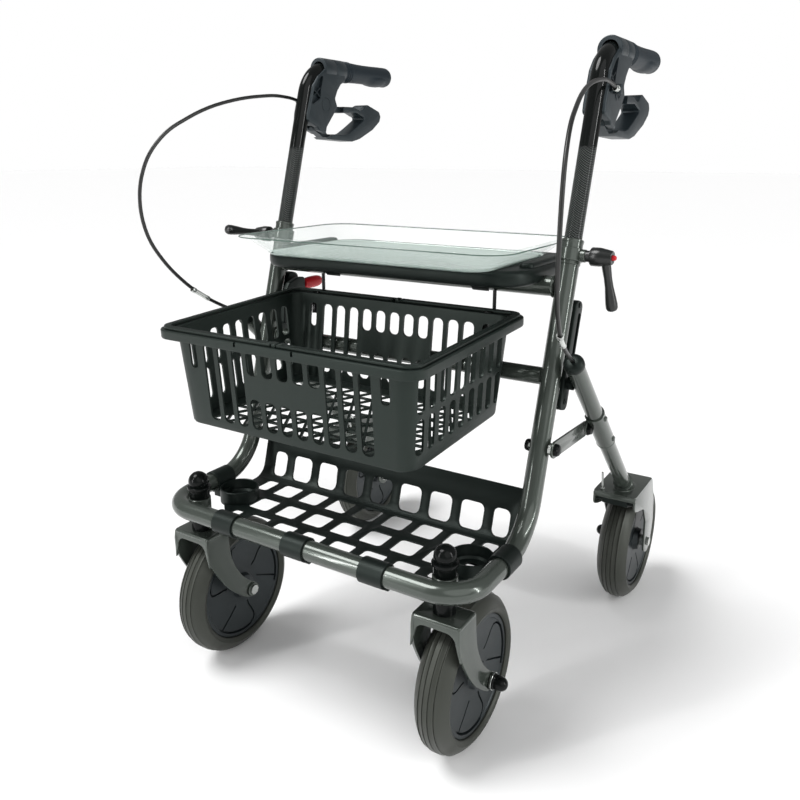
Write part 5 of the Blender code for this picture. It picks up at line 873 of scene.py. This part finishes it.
# Tray. Vacuum-formed clear plastic: a shallow dish with slanted walls, a soft edge round its floor
# and a thin flat rim, which stands on the seat between the raised lobes.
LOW = SEAT_TOP + 0.0003
HIGH = LOW + 0.0264
TRAY_RIM, TRAY_FLOOR = (0.2075, -0.1820, 0.0700, 0.038), (0.1690, -0.1540, 0.0450, 0.030)
clear_plastic = bpy.data.materials.new("clear plastic")
clear_plastic.use_nodes = True
tree = clear_plastic.node_tree
shader = tree.nodes["Principled BSDF"].inputs
shader["Base Color"].default_value = (0.80, 0.93, 0.87, 1)
shader["Roughness"].default_value = 0.04
shader["IOR"].default_value = 1.49
shader["Specular IOR Level"].default_value = 0.6
place = wired(tree, "TexCoord").outputs["Object"]
haze = wired(tree, "TexNoise", {"Vector": place, "Scale": 30})
swirl = wired(tree, "Bump", {"Strength": 0.25, "Distance": 0.0004,
                             "Height": haze.outputs["Fac"]}).outputs["Normal"]
# Partly the plastic's own faint even tint, partly painted reflection: the pale film grows more opaque at
# grazing angles, and much more opaque on the tray's floor, so that the floor looks lighter.
edge = wired(tree, "LayerWeight", {"Blend": 0.30, "Normal": swirl})
tint_and_grazing_sheen = wired(tree, "MapRange", {"Value": edge.outputs["Facing"], "To Min": 0.02, "To Max": 0.22})
height = wired(tree, "SeparateXYZ", {"Vector": place}).outputs["Z"]
painted_floor_sheen = wired(tree, "MapRange", {"Value": height, "From Min": LOW + 0.0040, "From Max": LOW + 0.0026,
                                      "To Max": 0.48})
added = wired(tree, "Math", {0: tint_and_grazing_sheen.outputs["Result"], 1: painted_floor_sheen.outputs["Result"]}, operation="ADD")
tree.links.new(swirl, shader["Normal"])
tree.links.new(added.outputs[0], shader["Alpha"])


def ring_stack(rings):
    """A closed skin through a stack of rounded rectangles, its first and last ones filled."""
    bands = []
    for ring in (rings[0], rings[-1]):
        bands.append(drawn(level(*ring)))
        bpy.ops.mesh.edge_face_add()
        bpy.ops.object.mode_set(mode="OBJECT")
    for lower, upper in zip(rings, rings[1:]):
        pair = []
        for ring in (lower, upper):
            pair.append(drawn(level(*ring)))
            bpy.ops.mesh.edge_face_add()
            bpy.ops.mesh.delete(type="ONLY_FACE")
            bpy.ops.object.mode_set(mode="OBJECT")
        bands.append(joined(*pair))
        bpy.ops.object.mode_set(mode="EDIT")
        bpy.ops.mesh.select_all(action="SELECT")
        bpy.ops.mesh.bridge_edge_loops()
        bpy.ops.object.mode_set(mode="OBJECT")
    joined(*bands)
    bpy.ops.object.mode_set(mode="EDIT")
    return closed_up(near=CLOSE / 2)


outside = ring_stack([(*TRAY_FLOOR, LOW), (0.1990, -0.1735, 0.0615, 0.034, HIGH - 0.0025),
                      (*TRAY_RIM, HIGH - 0.0025), (*TRAY_RIM, HIGH)])
inside = ring_stack([(0.1665, -0.1515, 0.0425, 0.0275, LOW + 0.0025),
                     (0.1965, -0.1710, 0.0590, 0.030, HIGH + 0.0001),
                     (0.1966, -0.1711, 0.0591, 0.030, HIGH + 0.0050)])
tray = softened(carved(outside, inside), 0.0009, 3, 25)
fitted(tray, "clear_tray", clear_plastic, "tray", "clear_plastic", "tray")
# Painted shade: thin dark green rings round the tray's rim and round the edge of its floor stand in for the
# dark lines that the bent clear plastic shows there.
edge_shade_paint = finish("painted edge shade of clear plastic", (0.060, 0.105, 0.085), 0.20, cloudiness=0.2, patchiness=0.05,
                  depth=0.00002)


def grown(ring, by):
    """The sizes of a level rectangle, with every side and corner moved out."""
    return ring[0] + by, ring[1] - by, ring[2] + by, ring[3] + by


for name, ring, z in (("tray_rim_shade_line", grown(TRAY_RIM, 0.0003), HIGH - 0.0022),
                      ("tray_floor_shade_line", grown(TRAY_FLOOR, 0.0010), LOW + 0.0006)):
    line = ring_stack([(*ring, z), (*ring, z + 0.0013)])
    carved(line, ring_stack([(*grown(ring, -0.0010), z - 0.001), (*grown(ring, -0.0010), z + 0.003)]))
    fitted(line, name, edge_shade_paint, "tray", "clear_plastic")

# Basket. One injection moulding in dark grey-green polypropylene: slotted walls that flare to a
# broad rolled rim, a lattice floor, and two carrying bails that fold down on the rim.
BASE_Z, RIM_TOP, RIM_HALF, RIM_FRONT, RIM_REAR = 0.3850, 0.5095, 0.1910, -0.3350, -0.0600
BASKET_Y, UNDER = -0.205, RIM_TOP - 0.0100
TIP = (Matrix.Translation((0, RIM_FRONT, RIM_TOP)) @ Matrix.Rotation(math.radians(2.5), 4, "X")
       @ Matrix.Translation((0, -RIM_FRONT, -RIM_TOP)))
basket_plastic = finish("basket plastic", (0.0082, 0.0125, 0.0108), 0.42, cloudiness=0.25, cloud_size=6,
                        patchiness=0.12, grain_size=1000, depth=0.00004, tint=(0.86, 1.0, 0.92),
                        specular=0.32)


def tipped(piece):
    """Turn a piece that was made level to the slope that the basket hangs at."""
    only(piece)
    piece.matrix_world = TIP @ piece.matrix_world
    bpy.ops.object.transform_apply(location=True, rotation=True, scale=True)
    return piece


def rim_ring(inset, corner, z):
    return RIM_HALF - inset, RIM_FRONT + inset, RIM_REAR - inset, corner, z


rolled = [(0.0034, 0.0220, UNDER), (0.0034, 0.0220, UNDER - 0.0012), (0.0005, 0.0220, UNDER - 0.0012),
          (0, 0.0220, UNDER), (0, 0.0220, RIM_TOP - 0.0012), (0.0006, 0.0214, RIM_TOP - 0.0003),
          (0.0014, 0.0206, RIM_TOP), (0.0040, 0.0190, RIM_TOP), (0.0044, 0.0188, RIM_TOP - 0.0012),
          (0.0142, 0.0150, RIM_TOP - 0.0012), (0.0146, 0.0150, RIM_TOP), (0.0168, 0.0150, RIM_TOP)]
walls = [(0.1655, -0.3125, -0.0975, 0.0185, BASE_Z), (0.1676, -0.3148, -0.0954, 0.0195, BASE_Z + 0.0010),
         (0.1690, -0.3160, -0.0940, 0.0200, BASE_Z + 0.0035), (0.1758, -0.3199, -0.0752, 0.0200, UNDER)]
walls += [rim_ring(*step) for step in rolled]
walls.append((0.1735, -0.3175, -0.0777, 0.0150, RIM_TOP - 0.0008))
basket = ring_stack(walls)
carved(basket, ring_stack([(0.1665, -0.3135, -0.0965, 0.0175, BASE_Z + 0.0025),
                           (0.1734, -0.3174, -0.0778, 0.0150, RIM_TOP + 0.0005),
                           (0.1735, -0.3175, -0.0777, 0.0150, RIM_TOP + 0.0100)]))
slots = [(-0.141, 0.00575, 0.0765, 0.1105, 0.0050), (0.141, 0.00575, 0.0765, 0.1105, 0.0050)]
for column in range(-5, 6):
    spans = ((0.0115, 0.0505), (0.0800, 0.1105)) if abs(column) <= 2 else ((0.0115, 0.1105),)
    slots += [(column * 0.023, 0.00825, *span, 0.0070) for span in spans]
carved(basket, joined(*[sheet("Y", window(x, BASE_Z + (low + high) / 2, half, (high - low) / 2, radius),
                              -0.350, 0.310) for x, half, low, high, radius in slots]))
slots = [(BASKET_Y + column * 0.0233, *span) for column in range(-4, 5)
         for span in ((0.0180, 0.0595), (0.0655, 0.1085))]
carved(basket, joined(*[sheet("X", window(y, BASE_Z + (low + high) / 2, 0.0070, (high - low) / 2, 0.0055),
                              -0.230, 0.460) for y, low, high in slots]))
LATTICE, HALF_HOLE = 0.0300, 0.0118
ROW, RISE = LATTICE * math.sqrt(3) / 2, HALF_HOLE / math.sqrt(3)
holes = []
for row in range(7):
    for step in range(-9, 10):
        points_up = 1 if (row + step) % 2 else -1
        x, y = step * LATTICE / 2, BASKET_Y + (row - 3) * ROW - points_up * ROW / 6
        if abs(x) < 0.1450:
            corners = [(-HALF_HOLE, -RISE), (HALF_HOLE, -RISE), (0, 2 * RISE)]
            holes.append(sheet("Z", [(x + a, y + points_up * b) for a, b in corners], BASE_Z - 0.01, 0.0150))
carved(basket, joined(*holes))
for x in (-0.055, 0.030):
    for y in (-0.3352, -0.0600):
        carved(basket, slab((x - 0.0016, x + 0.0016), (y - 0.003, y + 0.003), RIM_TOP - 0.0055, 0.010))
hook = arced([(-0.0762, RIM_TOP - 0.0300), (-0.0762, RIM_TOP + 0.0022), (-0.0640, RIM_TOP + 0.0022),
              (-0.0640, RIM_TOP - 0.0008), (-0.0735, RIM_TOP - 0.0008), (-0.0790, RIM_TOP - 0.0300)],
             0.0014, 4)
hooks = joined(*[softened(sheet("X", hook, x - 0.0055, 0.0110), 0.0012, 3) for x in (-0.140, 0.140)])
fitted(tipped(hooks), "basket_rim_hooks", gloss_plastic, "basket", "black_plastic")
BAIL_Y = (-0.3260, -0.0690)
for y in BAIL_Y:
    post = window(0, y, 0.0034, 0.0043, 0.0012)
    joined(basket, softened(sheet("Z", post, RIM_TOP - 0.0015, 0.0058), 0.0007, 2))
fitted(tipped(basket), "slotted_basket", basket_plastic, "basket", "black_plastic", "basket", smooth=30)
BAIL_END, BAIL_INSET, BAIL_WIDTH = 0.0045, 0.0045, 0.0090
outer_x, front, rear = rim_ring(BAIL_INSET, 0, 0)[:3]
outside = arced(oblong((BAIL_END, outer_x), (front, rear)), 0.0175, 8)
inside = arced(oblong((BAIL_END, outer_x - BAIL_WIDTH), (rear - BAIL_WIDTH, front + BAIL_WIDTH)), 0.0085, 8)
track = [(BAIL_END, front)] + [p for p in outside if p[0] > 0.0300]
track += [(BAIL_END, rear), (BAIL_END, rear - BAIL_WIDTH)] + [p for p in inside if p[0] > 0.0050]
track.append((BAIL_END, front + BAIL_WIDTH))
bail = softened(sheet("Z", track, RIM_TOP + 0.0003, 0.0033), 0.0009, 3)
LINE_Z, LINE_HALF = RIM_TOP + 0.0032, 0.00035
for aside in (-0.0035, -0.0012, 0.0012, 0.0035):
    for y in BAIL_Y:
        across = (y + aside - LINE_HALF, y + aside + LINE_HALF)
        carved(bail, slab((0.0080, 0.1750), across, LINE_Z, 0.002))
    across = (0.1820 + aside - LINE_HALF, 0.1820 + aside + LINE_HALF)
    carved(bail, slab(across, (-0.3150, -0.0800), LINE_Z, 0.002))
for y in BAIL_Y:
    joined(bail, turned([(0.0001, 0.0045), (0.0016, 0.0045), (0.0020, 0.0050), (0.0020, 0.0105),
                         (0.0016, 0.0110), (0.0001, 0.0110)], (0, y, RIM_TOP + 0.0021), (1, 0, 0), 20))
for word, piece in (("left", mirrored(bail)), ("right", bail)):
    fitted(tipped(piece), word + "_basket_bail", basket_plastic, "bail_" + word, "black_plastic",
           "basket_bail_" + word)

# Basket hangers. Two straight black wires that hang from the upper cross tube, each with a foot
# turned in under the basket's rear rim.
HANGER_X, WIRE_R, FOOT_LENGTH = 0.140, 0.0025, 0.0092
rim_foot = TIP @ Vector((0, RIM_REAR, UNDER))
wire_y, wire_z = rim_foot.y + 0.0035, rim_foot.z - 0.0031
hanger = pipe([(HANGER_X, wire_y, AXIS.z - 0.0110), (HANGER_X, wire_y, wire_z),
               (HANGER_X, wire_y - FOOT_LENGTH, wire_z)], [0.0035], WIRE_R, 20, 6)
fitted_both(hanger, "basket_hanger", cable_black, "frame", "black_plastic", "basket_hanger_")

# Fold lock. A black lever plate on a pin inside the left upright, with a moulded red grip pushed on
# its rear end; pressing it down frees the folding legs.
LOCK_PIN, KNOB_PLACE = upright(0, 0.261, -0.005), (-0.2045, 0, 0.5218)
lock = arced([(-0.0790, 0.4680), (-0.0640, 0.4660), (-0.0480, 0.4980), (-0.0330, 0.5100), (-0.0250, 0.5120),
              (-0.0250, 0.5330), (-0.0420, 0.5340), (-0.0620, 0.5280), (-0.0740, 0.5120)], 0.005, 4)
lever = softened(sheet("X", lock, -0.2085, 0.0080), 0.0013, 3)
joined(lever, turned([(0.0001, -0.2192), (0.0035, -0.2192), (0.0035, -0.2040), (0.0055, -0.2000),
                      (0.0055, -0.1985), (0.0048, -0.1978), (0.0001, -0.1978)], LOCK_PIN, (1, 0, 0), 28))
fitted(lever, "fold_lock_plate", black_plastic, "fold_lock", "black_plastic", "fold_lock_lever")
knob = turned([(0.0001, -0.0247), (0.0060, -0.0246), (0.0074, -0.0235), (0.0084, -0.0190), (0.0092, -0.0100),
               (0.0093, 0.0000), (0.0088, 0.0090), (0.0072, 0.0155), (0.0046, 0.0190), (0.0020, 0.0199),
               (0.0001, 0.0200)], (0, 0, 0), (0, 1, 0), 36)
only(knob)
bpy.ops.transform.resize(value=(0.78, 1, 1), center_override=(0, 0, 0))
bpy.ops.transform.translate(value=KNOB_PLACE)
bpy.ops.object.transform_apply()
fitted(knob, "fold_lock_grip_red", button_red, "fold_lock", "red_plastic", "fold_lock_grip")

# The floor, the lights and the camera. A pale floor and a white surround, a soft key light and a
# fill from above, a strip light each side for the highlights, and the photograph's viewpoint.
FLOOR_SIZE = 60.0
floor_paint = finish("pale floor", (0.93, 0.93, 0.93), 0.9, cloudiness=0.004, cloud_size=2, patchiness=0.02)
bpy.ops.object.select_all(action="DESELECT")
bpy.ops.mesh.primitive_plane_add(size=FLOOR_SIZE, location=(0, 0, 0))
floor = bpy.context.object
floor.name = "floor"
floor.data.materials.append(floor_paint)

world = bpy.data.worlds.new("white surround")
bpy.context.scene.world = world
world.use_nodes = True
tree = world.node_tree
tree.nodes.clear()
white = (1, 1, 1, 1)
dim = wired(tree, "Background", {"Color": white, "Strength": 0.32})
full = wired(tree, "Background", {"Color": white})
path = wired(tree, "LightPath").outputs
seen = wired(tree, "Math", {0: path["Is Camera Ray"], 1: path["Is Transmission Ray"]}, operation="MAXIMUM")
mix = wired(tree, "MixShader", {0: seen.outputs[0], 1: dim.outputs[0], 2: full.outputs[0]})
wired(tree, "OutputWorld", {0: mix.outputs[0]})


def lamp(name, kind, place, toward, power):
    bpy.ops.object.light_add(type=kind, location=place)
    added = bpy.context.object
    added.name = name
    added.data.energy = power
    added.rotation_euler = Vector(toward).to_track_quat("-Z", "Y").to_euler()
    return added.data


for name, power, spread, toward in (("key light", 2.3, 30, (0.45, 0.35, -1.0)),
                                    ("fill light", 0.75, 60, (-0.9, 0.6, -0.8))):
    lamp(name, "SUN", (0, 0, 3), toward, power).angle = math.radians(spread)
for name, power, place in (("right strip light", 34, (3.0, 0.1, 1.3)),
                           ("left strip light", 30, (-1.45, -2.67, 1.3))):
    strip = lamp(name, "AREA", place, Vector((0, 0, 0.5)) - Vector(place), power)
    strip.shape = "RECTANGLE"
    strip.size, strip.size_y = 0.14, 2.2

bpy.ops.object.camera_add(location=(0.5719, -0.9680, 0.7198))
camera = bpy.context.object
camera.rotation_euler = (math.radians(74.62), 0, math.radians(32.14))
camera.data.sensor_width = 36.0
camera.data.lens = 35.1
camera.data.shift_x = -0.0036
camera.data.shift_y = -0.0415
bpy.context.scene.camera = camera

bpy.context.scene.view_settings.view_transform = "Standard"
